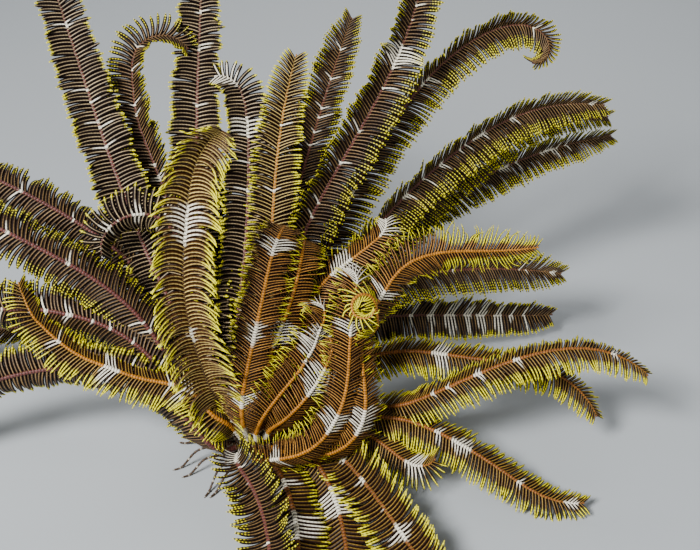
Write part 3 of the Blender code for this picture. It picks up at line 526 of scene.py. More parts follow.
def ease(values, s):
    """Values given at even steps, eased between them: a Catmull-Rom curve through the steps."""
    values = np.asarray(values, float)
    x = s * (len(values) - 1)
    i = np.clip(x.astype(int), 0, len(values) - 2)
    f = (x - i).reshape((-1,) + (1,) * (values.ndim - 1))
    v = np.concatenate([[2 * values[0] - values[1]], values, [2 * values[-1] - values[-2]]])
    p0, p1, p2, p3 = v[i], v[i + 1], v[i + 2], v[i + 3]
    return 0.5 * (2 * p1 + (p2 - p0) * f + (2 * p0 - 5 * p1 + 4 * p2 - p3) * f**2
                  + (3 * p1 - p0 - 3 * p2 + p3) * f**3)


def smooth_step(low, high, x):
    """0 below low, 1 above high, 3f^2 - 2f^3 between."""
    f = np.clip((x - low) / (high - low), 0, 1)
    return f * f * (3 - 2 * f)


def unit(v):
    """Vectors divided by their lengths."""
    return v / np.maximum(np.linalg.norm(v, axis=-1, keepdims=True), 1e-12)


def circle(sides):
    """Angles of evenly spread points round a circle."""
    return np.linspace(0, ROUND, sides, endpoint=False)


def by_turns(count):
    """1 and -1 by turns."""
    return np.where(np.arange(count) % 2 == 0, 1.0, -1.0)


def polar(radius, azimuth, height):
    """The point at a distance from the upright axis, an azimuth and a height."""
    return np.array([radius * math.cos(azimuth), radius * math.sin(azimuth), height])


def fan_direction(heading, lean):
    """Unit vectors at a heading in the fan plane, leaning out of it to the front, in degrees."""
    h, a = np.radians(heading), np.radians(lean)
    return ((np.cos(a) * np.cos(h))[:, None] * RIGHT + (np.cos(a) * np.sin(h))[:, None] * UP
            + np.sin(a)[:, None] * TOWARD)


def ring_of_seats():
    """Azimuth and tier of the seats in the order of RING: tier 0 is the lower and 1 the upper."""
    step = ROUND / len(RING)
    return [(RING_START + step * place, place % 2) for place in range(len(RING))]


def seat_point(azimuth, tier):
    """The seat's place and the way an arm leaves it."""
    rise = SEAT_RISE[tier]
    return (polar(SEAT_RADIUS[tier], azimuth, SEAT_HEIGHT[tier]),
            polar(math.cos(rise), azimuth, math.sin(rise)))


def centre_lines():
    """The centre line of each arm: steps along its headings from its seat, then settled apart."""
    seats = dict(zip(RING, ring_of_seats()))
    s = np.linspace(0, 1, ARM_STEPS + 1)
    mid = (s[1:] + s[:-1]) / 2
    lines = []
    for name, (length, headings, leans, _) in ARMS.items():
        start, seat_way = seat_point(*seats[name])
        own = fan_direction(ease(headings, mid), ease(leans, mid))
        blend = smooth_step(0, 1, mid * length * MM / SEAT_RUN)[:, None]
        steps = unit((1 - blend) * seat_way + blend * own) * (length * MM / ARM_STEPS)
        lines.append(np.concatenate([[start], start + np.cumsum(steps, axis=0)]))
    lines = np.array(lines)
    radius = ARM_ROOT_RADIUS + (ARM_TIP_RADIUS - ARM_ROOT_RADIUS) * s
    lowest = np.array([radius * LYING_SHARE if name in RESTING else radius + FLOOR_GAP
                       for name in ARMS])
    for _ in range(SETTLE_ROUNDS):
        lines = settle(lines, s, lowest)
    return lines


def settle(lines, s, lowest):
    """One round in which arms that pass too near push each other aside and the floor pushes up.

    Each of two points nearer than the gap moves half of what is missing, away from the other. The
    pushes on a point are added, divided by the square root of their number, and spread along the
    arm by a bell of weights."""
    n, m, _ = lines.shape
    flat = lines.reshape(-1, 3)
    own = np.repeat(np.arange(n), m)
    square = (flat**2).sum(1)
    apart = square[:, None] + square[None, :] - 2 * flat @ flat.T
    want = np.tile(ARM_GAP * np.clip(ROOT_GAP + s / ROOT_RUN, 0, 1), n)
    gap = np.minimum(want[:, None], want[None, :])
    i, j = np.nonzero((apart < gap**2) & (own[:, None] != own[None, :]))
    push = np.zeros_like(flat)
    if len(i):
        line = flat[i] - flat[j]
        far = np.maximum(np.linalg.norm(line, axis=1), 1e-6)
        np.add.at(push, i, line / far[:, None] * ((gap[i, j] - far) * 0.5)[:, None])
        push /= np.maximum(np.bincount(i, minlength=len(flat)), 1)[:, None] ** 0.5
    push = push.reshape(n, m, 3)
    kernel = np.hanning(SETTLE_SPREAD + 2)[1:-1]
    kernel /= kernel.sum()
    beyond = SETTLE_SPREAD // 2
    padded = np.pad(push, ((0, 0), (beyond, beyond), (0, 0)), mode="edge")
    smooth = sum(w * padded[:, k : k + m] for k, w in enumerate(kernel))
    freedom = np.clip((s - ROOT_HELD) / ROOT_RUN, 0, 1)[None, :, None]
    moved = lines + smooth * SETTLE_GAIN * freedom
    moved[..., 2] = np.maximum(moved[..., 2], lowest)
    return moved


def arm_frames(line, face):
    """Unit tangent, mouth side and flank at each step, with the least twist along the arm."""
    tangent = unit(np.gradient(line, axis=0))
    start = int(TWIST_START * ARM_STEPS)
    t = tangent[start]
    front = TOWARD - (TOWARD @ t) * t
    if np.linalg.norm(front) < FRONT_LEAST:
        front = UP - (UP @ t) * t
    front = unit(front)
    a = math.radians(face)
    mouth = np.zeros_like(line)
    mouth[start] = math.cos(a) * front + math.sin(a) * np.cross(t, front)
    for order in (range(start + 1, len(line)), range(start - 1, -1, -1)):
        last = start
        for k in order:
            mouth[k] = unit(mouth[last] - (mouth[last] @ tangent[k]) * tangent[k])
            last = k
    return tangent, mouth, np.cross(mouth, tangent)


def mesh_piece(name, points, faces, materials, uvs=(), slots=(), values=()):
    """A mesh object from whole arrays.

    Runs of faces hold the numbers of their corners, each run with its own material slot and the uv
    of its corners. Values are pairs of an attribute's name and its value at each point."""
    mesh = bpy.data.meshes.new(name)
    mesh.vertices.add(len(points))
    mesh.vertices.foreach_set("co", np.asarray(points, np.float32).ravel())
    corners = np.concatenate([f.ravel() for f in faces]).astype(np.int32)
    sizes = np.concatenate([np.full(len(f), f.shape[1]) for f in faces])
    mesh.loops.add(len(corners))
    mesh.loops.foreach_set("vertex_index", corners)
    mesh.polygons.add(len(sizes))
    mesh.polygons.foreach_set("loop_start", (np.cumsum(sizes) - sizes).astype(np.int32))
    for material in materials:
        mesh.materials.append(material)
    if slots:
        kinds = np.concatenate([np.full(len(f), k, np.int32) for f, k in zip(faces, slots)])
        mesh.polygons.foreach_set("material_index", kinds)
    mesh.update(calc_edges=True)
    if uvs:
        layer = mesh.uv_layers.new(name="OFBake")
        corner_uvs = np.concatenate([u.reshape(-1, 2) for u in uvs])
        layer.data.foreach_set("uv", corner_uvs.astype(np.float32).ravel())
    for key, value in values:
        kept = mesh.attributes.new(key, "FLOAT", "POINT")
        kept.data.foreach_set("value", np.asarray(value, np.float32).ravel())
    mesh.shade_smooth()
    piece = bpy.data.objects.new(name, mesh)
    bpy.context.scene.collection.objects.link(piece)
    return piece


def ring_faces(tubes, rings, sides):
    """Corners of the walls and both end caps of many alike tubes of rings times sides points."""
    first = (np.arange(tubes) * rings * sides)[:, None, None]
    i = np.arange(rings - 1)[None, :, None] * sides
    j = np.arange(sides)[None, None, :]
    k = (j + 1) % sides
    near, far = first + i, first + i + sides
    walls = np.stack([near + j, near + k, far + k, far + j], -1)
    start = first[:, 0] + np.arange(sides)[::-1]
    end = first[:, 0] + (rings - 1) * sides + np.arange(sides)
    return walls.reshape(-1, 4), start, end


def ring_uvs(low, high, across_low, across_high, rings, sides):
    """The strip of each tube on the bake map: u runs along the tube and v round it."""
    u = low[:, None] + (high - low)[:, None] * np.linspace(0, 1, rings)
    v = across_low[:, None] + (across_high - across_low)[:, None] * np.linspace(0, 1, sides + 1)
    u0, v0 = np.broadcast_arrays(u[:, :-1, None], v[:, None, :-1])
    u1, v1 = np.broadcast_arrays(u[:, 1:, None], v[:, None, 1:])
    walls = np.stack([np.stack(pair, -1) for pair in ((u0, v0), (u0, v1), (u1, v1), (u1, v0))], -2)
    turn = circle(sides)
    size = (across_high - across_low)[:, None] * CAP_SIZE
    middle = (across_high + across_low)[:, None] / 2
    inward = size * CAP_FLAT * (1 + np.cos(turn))
    start = np.stack([low[:, None] + inward, middle + size * np.sin(turn)], -1)
    end = np.stack([high[:, None] - inward, middle + size * np.sin(turn)], -1)
    return walls.reshape(-1, 4, 2), start, end


def pale_along(name, kind, u, generator):
    """How far out on the pinnules the white reaches at a share u of the arm.

    It rises from NO_WHITE to a band's own reach as e^-(x^4), with x the distance from the band's
    centre over its half width."""
    bands = list(BANDS.get(name, ()))
    if not bands:
        centres = CHANCE_CENTRE[0] + CHANCE_CENTRE[1] * generator.random(CHANCE_BANDS)
        more = generator.random(CHANCE_BANDS)
        bands = list(zip(centres, CHANCE_HALF[0] + CHANCE_HALF[1] * more,
                         CHANCE_REACH[0] + CHANCE_REACH[1] * more))
    bands += [(c, SPECK_HALF, SPECK_REACH) for c in generator.random(SPECKS.get(kind, 0))]
    reach = np.full_like(u, NO_WHITE)
    for centre, half, *far in bands:
        far = far[0] if far else KINDS[kind].white
        bell = np.exp(-(((u - centre) / half) ** 4))
        reach = np.maximum(reach, NO_WHITE + (far - NO_WHITE) * bell)
    return reach


def rachis_rings(line, frames, form, length, generator, pale_at):
    """The arm's chain of brachials.

    Each brachial is a short drum of four rings that swells between the joints, with a socket that
    bulges to the left and the right by turns, and a groove along the mouth side. Its radius
    follows RACHIS_RADIUS along the arm."""
    count = int(length / (form.spacing * MM * DRUM_LENGTH))
    at, wide, bulge, joint = np.array(DRUM).T
    rings = len(DRUM)
    place = (np.arange(count)[:, None] + at).ravel() / count
    place = np.pad(place, 1, constant_values=(0.0, 1.0))
    shape = np.pad(np.tile(wide, count), 1, constant_values=RACHIS_ENDS)
    bulge = np.pad(np.tile(bulge, count), 1)
    joint = np.pad(np.tile(joint, count), 1)
    side = np.pad(np.repeat(by_turns(count), rings), 1)
    tone = np.pad(np.repeat(generator.random(count), rings), 1, constant_values=0.5)
    centre = ease(line, place)
    _, mouth, flank = (unit(ease(f, place)) for f in frames)
    radius = np.interp(place, *RACHIS_RADIUS) * MM
    radius = radius * (1 + (form.rachis - 1) * smooth_step(*RACHIS_CHANGE, place))
    turn = circle(RACHIS_SIDES)
    across, up = np.cos(turn), np.sin(turn)
    socket = 1.0 + bulge[:, None] * np.maximum(across * side[:, None], 0)
    groove = 1.0 - GROOVE_DEPTH * np.exp(-(((turn - math.pi / 2) / GROOVE_WIDTH) ** 2))
    reach = (radius * shape)[:, None] * socket * groove
    points = (centre[:, None, :] + (reach * across)[..., None] * flank[:, None, :]
              + (reach * up * RACHIS_FLAT)[..., None] * mouth[:, None, :])
    points[..., 2] = np.maximum(points[..., 2], 0.0)
    marks = {"pale": pale_at(place), "joint": joint, "tone": tone}
    return points, {key: np.repeat(value, RACHIS_SIDES) for key, value in marks.items()}


def pinnule_angles(form, gilt, gilded, u, wave, jitter):
    """A pinnule's angle to the arm and fold to the mouth side, each at its root and tip.

    Each is the kind's own plus the gains of its row in SWAY."""
    tip = smooth_step(*ARM_TIP, u)
    root = 1 - smooth_step(*ARM_ROOT, u)
    degrees = [own + at_tip * tip + at_root * root + waved * wave + chance * jitter[which]
               for own, (at_tip, at_root, waved, chance, which)
               in zip((*form.angles, *form.folds), SWAY)]
    degrees[1] = degrees[1] - CLOSED_SHARE * (form.angles[1] - CLOSED_ANGLE) * tip
    degrees[1] = degrees[1] - gilt.bend * gilded
    return np.radians(degrees)[..., None]


def pinnule_rings(name, line, frames, form, length, sizes, generator, pale_at):
    """All pinnules of an arm at once, as tubes of PINNULE_RINGS steps.

    A pinnule leaves the rachis at an angle to the arm, and turns evenly toward its outer angle,
    while it folds evenly to the mouth side; its path adds up these directions. It is wider along
    the arm than across, falls gently to the tip and closes there."""
    gilt = GILDED.get(name, NO_GILT)
    spacing = form.spacing * MM * sizes.pinnule_spacing
    count = int((length - PINNULE_START - PINNULE_STOP) / spacing * 2)
    u = (PINNULE_START + (np.arange(count) + 0.5) * spacing / 2) / length
    side = by_turns(count)[:, None]
    wave = np.convolve(generator.standard_normal(count + WAVE_SPREAD - 1),
                       np.hanning(WAVE_SPREAD) / WAVE_SCALE, "same")
    wave = wave[WAVE_SPREAD // 2 : -(WAVE_SPREAD // 2)]
    jitter = generator.standard_normal((4, count))
    gilded = smooth_step(gilt.start, gilt.start + GILT_EDGE, u)
    a_in, a_out, f_in, f_out = pinnule_angles(form, gilt, gilded, u, wave, jitter)

    t = np.linspace(0, 1, PINNULE_RINGS + 1)
    mid = (t[1:] + t[:-1]) / 2
    tangent, mouth, flank = (unit(ease(f, u)) for f in frames)
    hook = np.radians(form.hook + gilt.tangle * gilded)[:, None] * smooth_step(*HOOKING, mid)
    hook = hook * jitter[3][:, None]
    a = a_in + (a_out - a_in) * mid + hook
    f = f_in + (f_out - f_in) * mid + hook
    way = (np.cos(a)[..., None] * tangent[:, None]
           + (np.sin(a) * np.cos(f) * side)[..., None] * flank[:, None]
           + (np.sin(a) * np.sin(f))[..., None] * mouth[:, None])
    want = np.interp(u, *PINNULE_LENGTH) * form.length * MM * sizes.pinnule_length
    want = want * (1 + LENGTH_CHANCE * jitter[0])
    tangled = gilt.shorter - 1 + TANGLE_LENGTH * gilt.tangle * jitter[1]
    want = want * (1 + tangled * gilded)
    start = ease(line, u)[:, None]
    step = way * (want / PINNULE_RINGS)[:, None, None]
    path = np.concatenate([start, start + np.cumsum(step, axis=1)], axis=1)
    path[..., 2] = np.maximum(path[..., 2], PINNULE_FLOOR)

    heading = unit(np.gradient(path, axis=1))
    over = unit(tangent[:, None] - (tangent[:, None] * heading).sum(-1, keepdims=True) * heading)
    beside = np.cross(heading, over)
    thick = 0.5 * spacing * form.width * math.sin(math.radians(form.angles[0]))
    thick = thick * sizes.pinnule_width * (1 + WIDTH_CHANCE * jitter[2])
    taper = 1 - (1 - form.tip) * smooth_step(*NARROWING, t)
    taper = taper * np.minimum(1.0, CLOSING[0] + (1 - t) * CLOSING[1])
    radius = thick[:, None] * taper * np.interp(u, *PINNULE_WIDTH)[:, None]
    deep = np.broadcast_to(PINNULE_DEPTH * spacing * taper, radius.shape)
    turn = circle(PINNULE_SIDES)[:, None]
    rim = (radius[..., None, None] * np.cos(turn) * over[:, :, None, :]
           + deep[..., None, None] * np.sin(turn) * beside[:, :, None, :])
    points = path[:, :, None, :] + rim
    points[..., 2] = np.maximum(points[..., 2], 0.0)
    later = GILT_SHIFT * gilded + YELLOW_CHANCE * jitter[1] + YELLOW_WAVE * wave
    marks = {
        "pale": (pale_at(u) + PALE_CHANCE * jitter[3])[:, None, None],
        "out": t[None, :, None],
        "tone": generator.random(count)[:, None, None],
        "crest": np.abs(np.sin(turn[:, 0])),
        "yellow": t[None, :, None] + later[:, None, None],
    }
    shape = points.shape[:3]
    return points, {key: np.broadcast_to(value, shape).ravel() for key, value in marks.items()}


def node(tree, kind, inputs, **settings):
    """A shader node, beside the last one or in the next row of nine.

    Each input is a socket to link, a plain colour or a number."""
    made = tree.nodes.new(kind)
    row, column = divmod(len(tree.nodes), 9)
    made.location = (column * 200 - 2000, 900 - row * 260)
    for key, value in settings.items():
        setattr(made, key, value)
    for key, value in inputs.items():
        if isinstance(value, bpy.types.NodeSocket):
            tree.links.new(value, made.inputs[key])
        else:
            made.inputs[key].default_value = (*value, 1.0) if isinstance(value, tuple) else value
    return made


def attribute(tree, name):
    """The value of an attribute of the mesh."""
    return node(tree, "ShaderNodeAttribute", {}, attribute_name=name).outputs["Fac"]


def remap(tree, source, low, high, to_low=0.0, to_high=1.0):
    """A value moved from one range to another and held at its ends."""
    return node(tree, "ShaderNodeMapRange", {
        "Value": source, "From Min": low, "From Max": high, "To Min": to_low, "To Max": to_high,
    }).outputs["Result"]


def calculate(tree, operation, *values):
    """One step of arithmetic on sockets or numbers."""
    return node(tree, "ShaderNodeMath", dict(enumerate(values)), operation=operation).outputs[0]


def mixed(tree, factor, a, b, blend="MIX"):
    """Two colours mixed by a factor; each may be a socket or a plain colour."""
    return node(tree, "ShaderNodeMix", {0: factor, 6: a, 7: b},
                data_type="RGBA", blend_type=blend).outputs[2]


def grey(tree, value):
    """A grey colour from one value."""
    return node(tree, "ShaderNodeCombineColor", {0: value, 1: value, 2: value}).outputs[0]


def noise(tree, scale, detail=2.0):
    """Noise on Object coordinates, with so many grains a metre."""
    place = node(tree, "ShaderNodeTexCoord", {}).outputs["Object"]
    return node(tree, "ShaderNodeTexNoise",
                {"Vector": place, "Scale": scale, "Detail": detail}).outputs["Fac"]


def new_material(name, roughness, gloss=0.5):
    """A material, its node tree and its shader with a roughness and a specular level."""
    material = bpy.data.materials.new(name)
    material.use_nodes = True
    tree = material.node_tree
    shader = tree.nodes["Principled BSDF"]
    shader.inputs["Roughness"].default_value = roughness
    shader.inputs["Specular IOR Level"].default_value = gloss
    return material, tree, shader


def finished(made, colour, height, strength, distance):
    """The material with its colour and a bump from a height."""
    material, tree, shader = made
    tree.links.new(colour, shader.inputs["Base Color"])
    bump = node(tree, "ShaderNodeBump",
                {"Strength": strength, "Distance": distance, "Height": height})
    tree.links.new(bump.outputs["Normal"], shader.inputs["Normal"])
    return material


def pinnule_material(name, form, flank, line, white, lemon):
    """Pinnules with flanks darkened as painted shade between them, a painted highlight along their
    crests, white bands and lemon tips.

    The highlight, in the line colour, covers the crest from form.ridge up, stronger on some
    pinnules and in some patches, and fades from its own colour toward the flank's by form.fade. The
    white covers a broader part and holds out to the share in the attribute pale. The lemon starts
    at form.yellow, in dots by the share form.dotted, and at the very tip it goes all round. Fine
    dark rings mark the small joints."""
    made = new_material(name, 0.5, 0.22)
    tree = made[1]
    out, pale, tone, crest, yellow = (
        attribute(tree, key) for key in ("out", "pale", "tone", "crest", "yellow"))
    faded = tuple((1 - form.fade) * c + form.fade * 2.2 * d for c, d in zip(line, flank))
    # Colour of the painted highlight on the crest: the line colour, faded toward the flank's
    # further out.
    ridge = mixed(tree, remap(tree, out, 0.30, 0.62), line, faded)
    patch = remap(tree, noise(tree, 170.0), 0.40, 0.60, 1.0, 0.60)
    strong = calculate(tree, "MULTIPLY", remap(tree, tone, 0.0, 1.0, 0.5, 1.0), patch)
    # Painted highlight: the crest from form.ridge up takes the line colour, while the flanks below
    # keep the dark flank colour as painted shade between the pinnules.
    lit = calculate(tree, "MULTIPLY", remap(tree, crest, form.ridge, form.ridge + 0.25), strong)
    body = mixed(tree, lit, flank, ridge)

    inner = remap(tree, calculate(tree, "SUBTRACT", pale, out), -0.14, 0.06)
    broad = 0.75 * form.ridge
    band = calculate(tree, "MULTIPLY", inner, remap(tree, crest, broad, broad + 0.25))
    body = mixed(tree, band, body, white)

    beads = calculate(tree, "SINE", calculate(tree, "MULTIPLY", out, BEADS))
    dots = remap(tree, beads, -0.20, 0.40, 1.0 - form.dotted, 1.0)
    outer = calculate(tree, "MULTIPLY", remap(tree, yellow, form.yellow, form.yellow + 0.16), dots)
    narrow = form.ridge - 0.25 + 0.18 * form.dotted
    crown = remap(tree, crest, narrow, narrow + 0.30)
    crown = calculate(tree, "MAXIMUM", crown, remap(tree, out, 0.84, 0.92))
    body = mixed(tree, calculate(tree, "MULTIPLY", outer, crown), body, lemon)

    rings = remap(tree, beads, -1.0, 0.0, 0.68, 1.0)
    body = mixed(tree, 1.0, body, grey(tree, rings), "MULTIPLY")
    return finished(made, body, rings, 0.5, 0.0001)


def rachis_material(name, base, white):
    """The arm's plates: each with its own tone, white bands, dark joints and a fine grain."""
    made = new_material(name, 0.42, 0.3)
    tree = made[1]
    light = tuple(min(1.0, 1.35 * c + 0.01) for c in base)
    deep = tuple(0.55 * c for c in base)
    dark = tuple(0.12 * c for c in base)
    grain = noise(tree, 900.0, 3.0)
    body = mixed(tree, remap(tree, grain, 0.35, 0.7), base, light)
    body = mixed(tree, remap(tree, attribute(tree, "tone"), 0.0, 0.6, 0.6, 0.0), body, deep)
    body = mixed(tree, remap(tree, attribute(tree, "pale"), -0.1, 0.1), body, white)
    body = mixed(tree, remap(tree, attribute(tree, "joint"), 0.1, 0.9, 0.0, 0.92), body, dark)
    return finished(made, body, grain, 0.35, 0.0001)


def cup_material(name, base, white, lemon):
    """Blotched skin over the plates of the cup, with white and lemon specks."""
    made = new_material(name, 0.55)
    tree = made[1]
    blotch, fine = noise(tree, 420.0, 4.0), noise(tree, 1600.0)
    dark = tuple(0.35 * c for c in base)
    body = mixed(tree, remap(tree, blotch, 0.40, 0.58), dark, base)
    body = mixed(tree, remap(tree, fine, 0.58, 0.70, 0.0, 0.7), body, white)
    body = mixed(tree, remap(tree, fine, 0.40, 0.30, 0.0, 0.5), body, lemon)
    return finished(made, body, blotch, 0.5, 0.0002)


def floor_material(name, colour):
    """A plain matt floor with the least cloud in it."""
    material, tree, shader = new_material(name, 0.7)
    darker = tuple(0.985 * c for c in colour)
    body = mixed(tree, remap(tree, noise(tree, 6.0), 0.3, 0.7), darker, colour)
    tree.links.new(body, shader.inputs["Base Color"])
    return material


def tube(centre, radius, sides):
    """Rings round a path: circles square to its way."""
    tangent = unit(np.gradient(centre, axis=0))
    across = np.cross(tangent, [0.0, 0.0, 1.0])
    upright = np.linalg.norm(across, axis=1, keepdims=True) < UPRIGHT_LEAST
    across = unit(np.where(upright, RIGHT, across))
    above = np.cross(across, tangent)
    turn = circle(sides)[None, :, None]
    rim = np.cos(turn) * above[:, None] + np.sin(turn) * across[:, None]
    return centre[:, None] + radius[:, None, None] * rim


def cup_tube(points, radii):
    """A tube of the cup, its path and radii eased to TUBE_RINGS rings."""
    s = np.linspace(0, 1, TUBE_RINGS)
    return tube(ease(points, s), ease(radii, s), TUBE_SIDES)


def lathe(profile, rings, wave):
    """Rings of a turned form: an eased outline taken round the upright axis.

    Its radius is multiplied by a wave of height and azimuth."""
    radius, height = ease(profile, np.linspace(0, 1, rings)).T[..., None]
    height = np.maximum(height, 0.0)
    turn = circle(LATHE_SIDES)[None, :]
    radius = radius * wave(height, turn)
    height = np.broadcast_to(height, radius.shape)
    return np.stack([radius * np.cos(turn), radius * np.sin(turn), height], -1)


def ray_tubes(azimuth, seats):
    """Paths and radii of one ray's tubes: a stem, two halves, four pairs, eight seats."""
    step = ROUND / len(RING)
    start, middle, fork = (polar(radius, azimuth, height) for radius, height in STEM)
    tubes = [((start, middle, fork), STEM_RADII)]
    for half in (0, 1):
        turn = azimuth + (2 * half - 1) * 2 * step
        knee = polar(KNEE[0], turn, KNEE[1])
        tubes.append(((fork - FORK_OVERLAP * (knee - fork), fork, knee), KNEE_RADII))
        for side in (0, 1):
            split = polar(SPLIT[0], turn + (2 * side - 1) * step, SPLIT[1])
            tubes.append(((knee - FORK_OVERLAP * (split - knee), knee, split), SPLIT_RADII))
            pair = 4 * half + 2 * side
            for seat in seats[pair : pair + 2]:
                end, way = seat_point(*seat)
                path = (split - FORK_OVERLAP * (end - split), split,
                        end - way * SEAT_BEFORE, end + way * SEAT_PAST)
                tubes.append((path, SEAT_RADII))
    return tubes


def cirri_paths():
    """Paths of the cirri, which arch out from the knob and rest on the floor, as in the solids.

    A cirrus clasps by the fourth power of the cosine of its azimuth from the clasping side."""
    rng = random.Random(SEED)
    paths = []
    for k in range(CIRRI):
        azimuth = ROUND * k / CIRRI + rng.uniform(-CIRRUS_STRAY, CIRRUS_STRAY)
        drift = rng.uniform(-CIRRUS_DRIFT, CIRRUS_DRIFT)
        height = CIRRUS_HEIGHTS[k % len(CIRRUS_HEIGHTS)]
        lift = rng.uniform(*CIRRUS_LIFT)
        clasp = max(0.0, math.cos(azimuth - math.radians(CLASPING_SIDE))) ** 4
        size = CIRRUS_LENGTHS[k % len(CIRRUS_LENGTHS)] + CLASPING_REACH * clasp
        arch = CLASPING_ARCH * clasp
        paths.append(np.array([
            polar(CIRRUS_START + (size - CIRRUS_START) * reach, azimuth + drift * share,
                  high * height + rise * lift + bow * arch + level)
            for reach, share, high, rise, bow, level in CIRRUS_POINTS]))
    return paths


def nodes_of(*names):
    """The frame's nodes for one arm or part, in one length or two."""
    kept = [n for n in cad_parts
            if any(n == m or n in (m + "_lower", m + "_upper") for m in names)]
    if not kept:
        raise RuntimeError("no node for " + ", ".join(names))
    return kept


def placed(right, up, back, place):
    """The matrix of an object with these three axes, at a place."""
    rows = [[right[k], up[k], back[k], place[k]] for k in range(3)]
    return Matrix(rows + [[0.0, 0.0, 0.0, 1.0]])


def soft_light(name, place, aim, size, power):
    """A soft square light that looks at a point."""
    data = bpy.data.lights.new(name, "AREA")
    data.size = size
    data.energy = power
    lamp = bpy.data.objects.new(name, data)
    back = unit(np.array(place) - np.array(aim))
    side = unit(np.cross([0.0, 0.0, 1.0], back))
    lamp.matrix_world = placed(side, np.cross(back, side), back, place)
    bpy.context.scene.collection.objects.link(lamp)


class FEATHERSTAR_OT_stage(Operator):
    """Makes the plain floor, the soft lights and the camera"""

    bl_idname = "featherstar.stage"
    bl_label = "Stage"

    def execute(self, context):
        scene = context.scene
        row = FLOOR_SQUARES + 1
        grid = np.linspace(-FLOOR_HALF, FLOOR_HALF, row)
        x, y = np.meshgrid(grid, grid, indexing="ij")
        points = np.stack([x, y, np.zeros_like(x)], -1).reshape(-1, 3)
        first = (np.arange(FLOOR_SQUARES)[:, None] * row + np.arange(FLOOR_SQUARES)).ravel()
        faces = np.stack([first, first + row, first + row + 1, first + 1], -1)
        uv = (points[faces][..., :2] + FLOOR_HALF) / (2 * FLOOR_HALF)
        matt = floor_material("pale_floor", tuple(scene.featherstar_colours.floor))
        floor = mesh_piece("floor", points, [faces], [matt], [uv])
        for name, lamp in LIGHTS.items():
            soft_light(name, *lamp)
        data = bpy.data.cameras.new("camera")
        data.lens = CAMERA_LENS
        data.sensor_width = CAMERA_SENSOR
        data.clip_start = CAMERA_NEAR
        camera = bpy.data.objects.new("camera", data)
        scene.collection.objects.link(camera)
        right, up, toward = CAMERA_PLACE
        spot = HUB + right * RIGHT + up * UP + toward * TOWARD
        camera.matrix_world = placed(RIGHT, UP, TOWARD, spot)
        scene.camera = camera
        world = bpy.data.worlds.new("studio")
        world.use_nodes = True
        sky = world.node_tree.nodes["Background"]
        sky.inputs["Color"].default_value = SKY
        sky.inputs["Strength"].default_value = SKY_STRENGTH
        scene.world = world
        return {"FINISHED"}


class FEATHERSTAR_OT_cup(Operator):
    """Makes the centrodorsal, the five rays and the disc as one fused cup"""

    bl_idname = "featherstar.cup"
    bl_label = "Cup"

    def execute(self, context):
        colours = context.scene.featherstar_colours
        seats = ring_of_seats()
        forms = []
        for ray in range(RAYS):
            first = SEATS_A_RAY * ray
            middle = RING_START + ROUND * (first + (SEATS_A_RAY - 1) / 2) / len(RING)
            own = seats[first : first + SEATS_A_RAY]
            forms += [cup_tube(path, radii) for path, radii in ray_tubes(middle, own)]
        forms.append(cup_tube(CONE_PATH, CONE_RADII))

        def sockets(height, turn):
            return 1 + SOCKET_DEPTH * np.cos(CIRRI * turn) * np.sin(height * SOCKET_PITCH)

        def grooves(height, turn):
            deep = DISC_GROOVE * np.maximum(np.cos(RAYS * turn), 0) ** 2
            return 1 - deep * (height > DISC_GROOVE_FROM)

        forms.append(lathe(KNOB_PROFILE, KNOB_RINGS, sockets))
        forms.append(lathe(DISC_PROFILE, DISC_RINGS, grooves))
        points, faces, offset = [], [], 0
        for rings in forms:
            faces += [part + offset for part in ring_faces(1, *rings.shape[:2])]
            points.append(rings.reshape(-1, 3))
            offset += len(points[-1])
        skin = cup_material("cup_skin", tuple(colours.cup), tuple(colours.white),
                            tuple(colours.lemon))
        cup = mesh_piece("cup", np.concatenate(points), faces, [skin])
        fuse = cup.modifiers.new("fuse", "REMESH")
        fuse.mode = "VOXEL"
        fuse.voxel_size = context.scene.featherstar_sizes.cup_voxel
        soften = cup.modifiers.new("soften", "SMOOTH")
        soften.factor = SOFTEN
        soften.iterations = SOFTEN_ROUNDS
        view = context.evaluated_depsgraph_get()
        mesh = bpy.data.meshes.new_from_object(cup.evaluated_get(view))
        cup.modifiers.clear()
        cup.data = mesh
        mesh.materials.clear()
        mesh.materials.append(skin)
        mesh.shade_smooth()
        wrap_around(mesh)
        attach(cup, "root")
        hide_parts(*nodes_of("centrodorsal", "disc",
                                   *("ray_%d" % (k + 1) for k in range(RAYS))))
        return {"FINISHED"}


def wrap_around(mesh):
    """Bake map of a rounded form: azimuth across, and the way over it from foot to crown upward.

    The corners of a face that crosses the seam all go past its end."""
    count = len(mesh.loops)
    corner = np.empty(count, np.int32)
    mesh.loops.foreach_get("vertex_index", corner)
    place = np.empty(len(mesh.vertices) * 3, np.float32)
    mesh.vertices.foreach_get("co", place)
    d = place.reshape(-1, 3) - np.array(CUP_MIDDLE)
    u = np.arctan2(d[:, 1], d[:, 0]) / ROUND + 0.5
    v = np.arctan2(d[:, 2], np.hypot(d[:, 0], d[:, 1])) / math.pi + 0.5
    uv = np.stack([u[corner], v[corner]], -1)
    starts = np.empty(len(mesh.polygons), np.int32)
    mesh.polygons.foreach_get("loop_start", starts)
    owner = np.repeat(np.arange(len(starts)), np.diff(np.append(starts, count)))
    top = np.zeros(len(starts))
    np.maximum.at(top, owner, uv[:, 0])
    uv[:, 0] += (top[owner] - uv[:, 0] > 0.5)
    uv[:, 0] *= CUP_MAP_WIDTH
    layer = mesh.uv_layers.new(name="OFBake")
    layer.data.foreach_set("uv", uv.astype(np.float32).ravel())


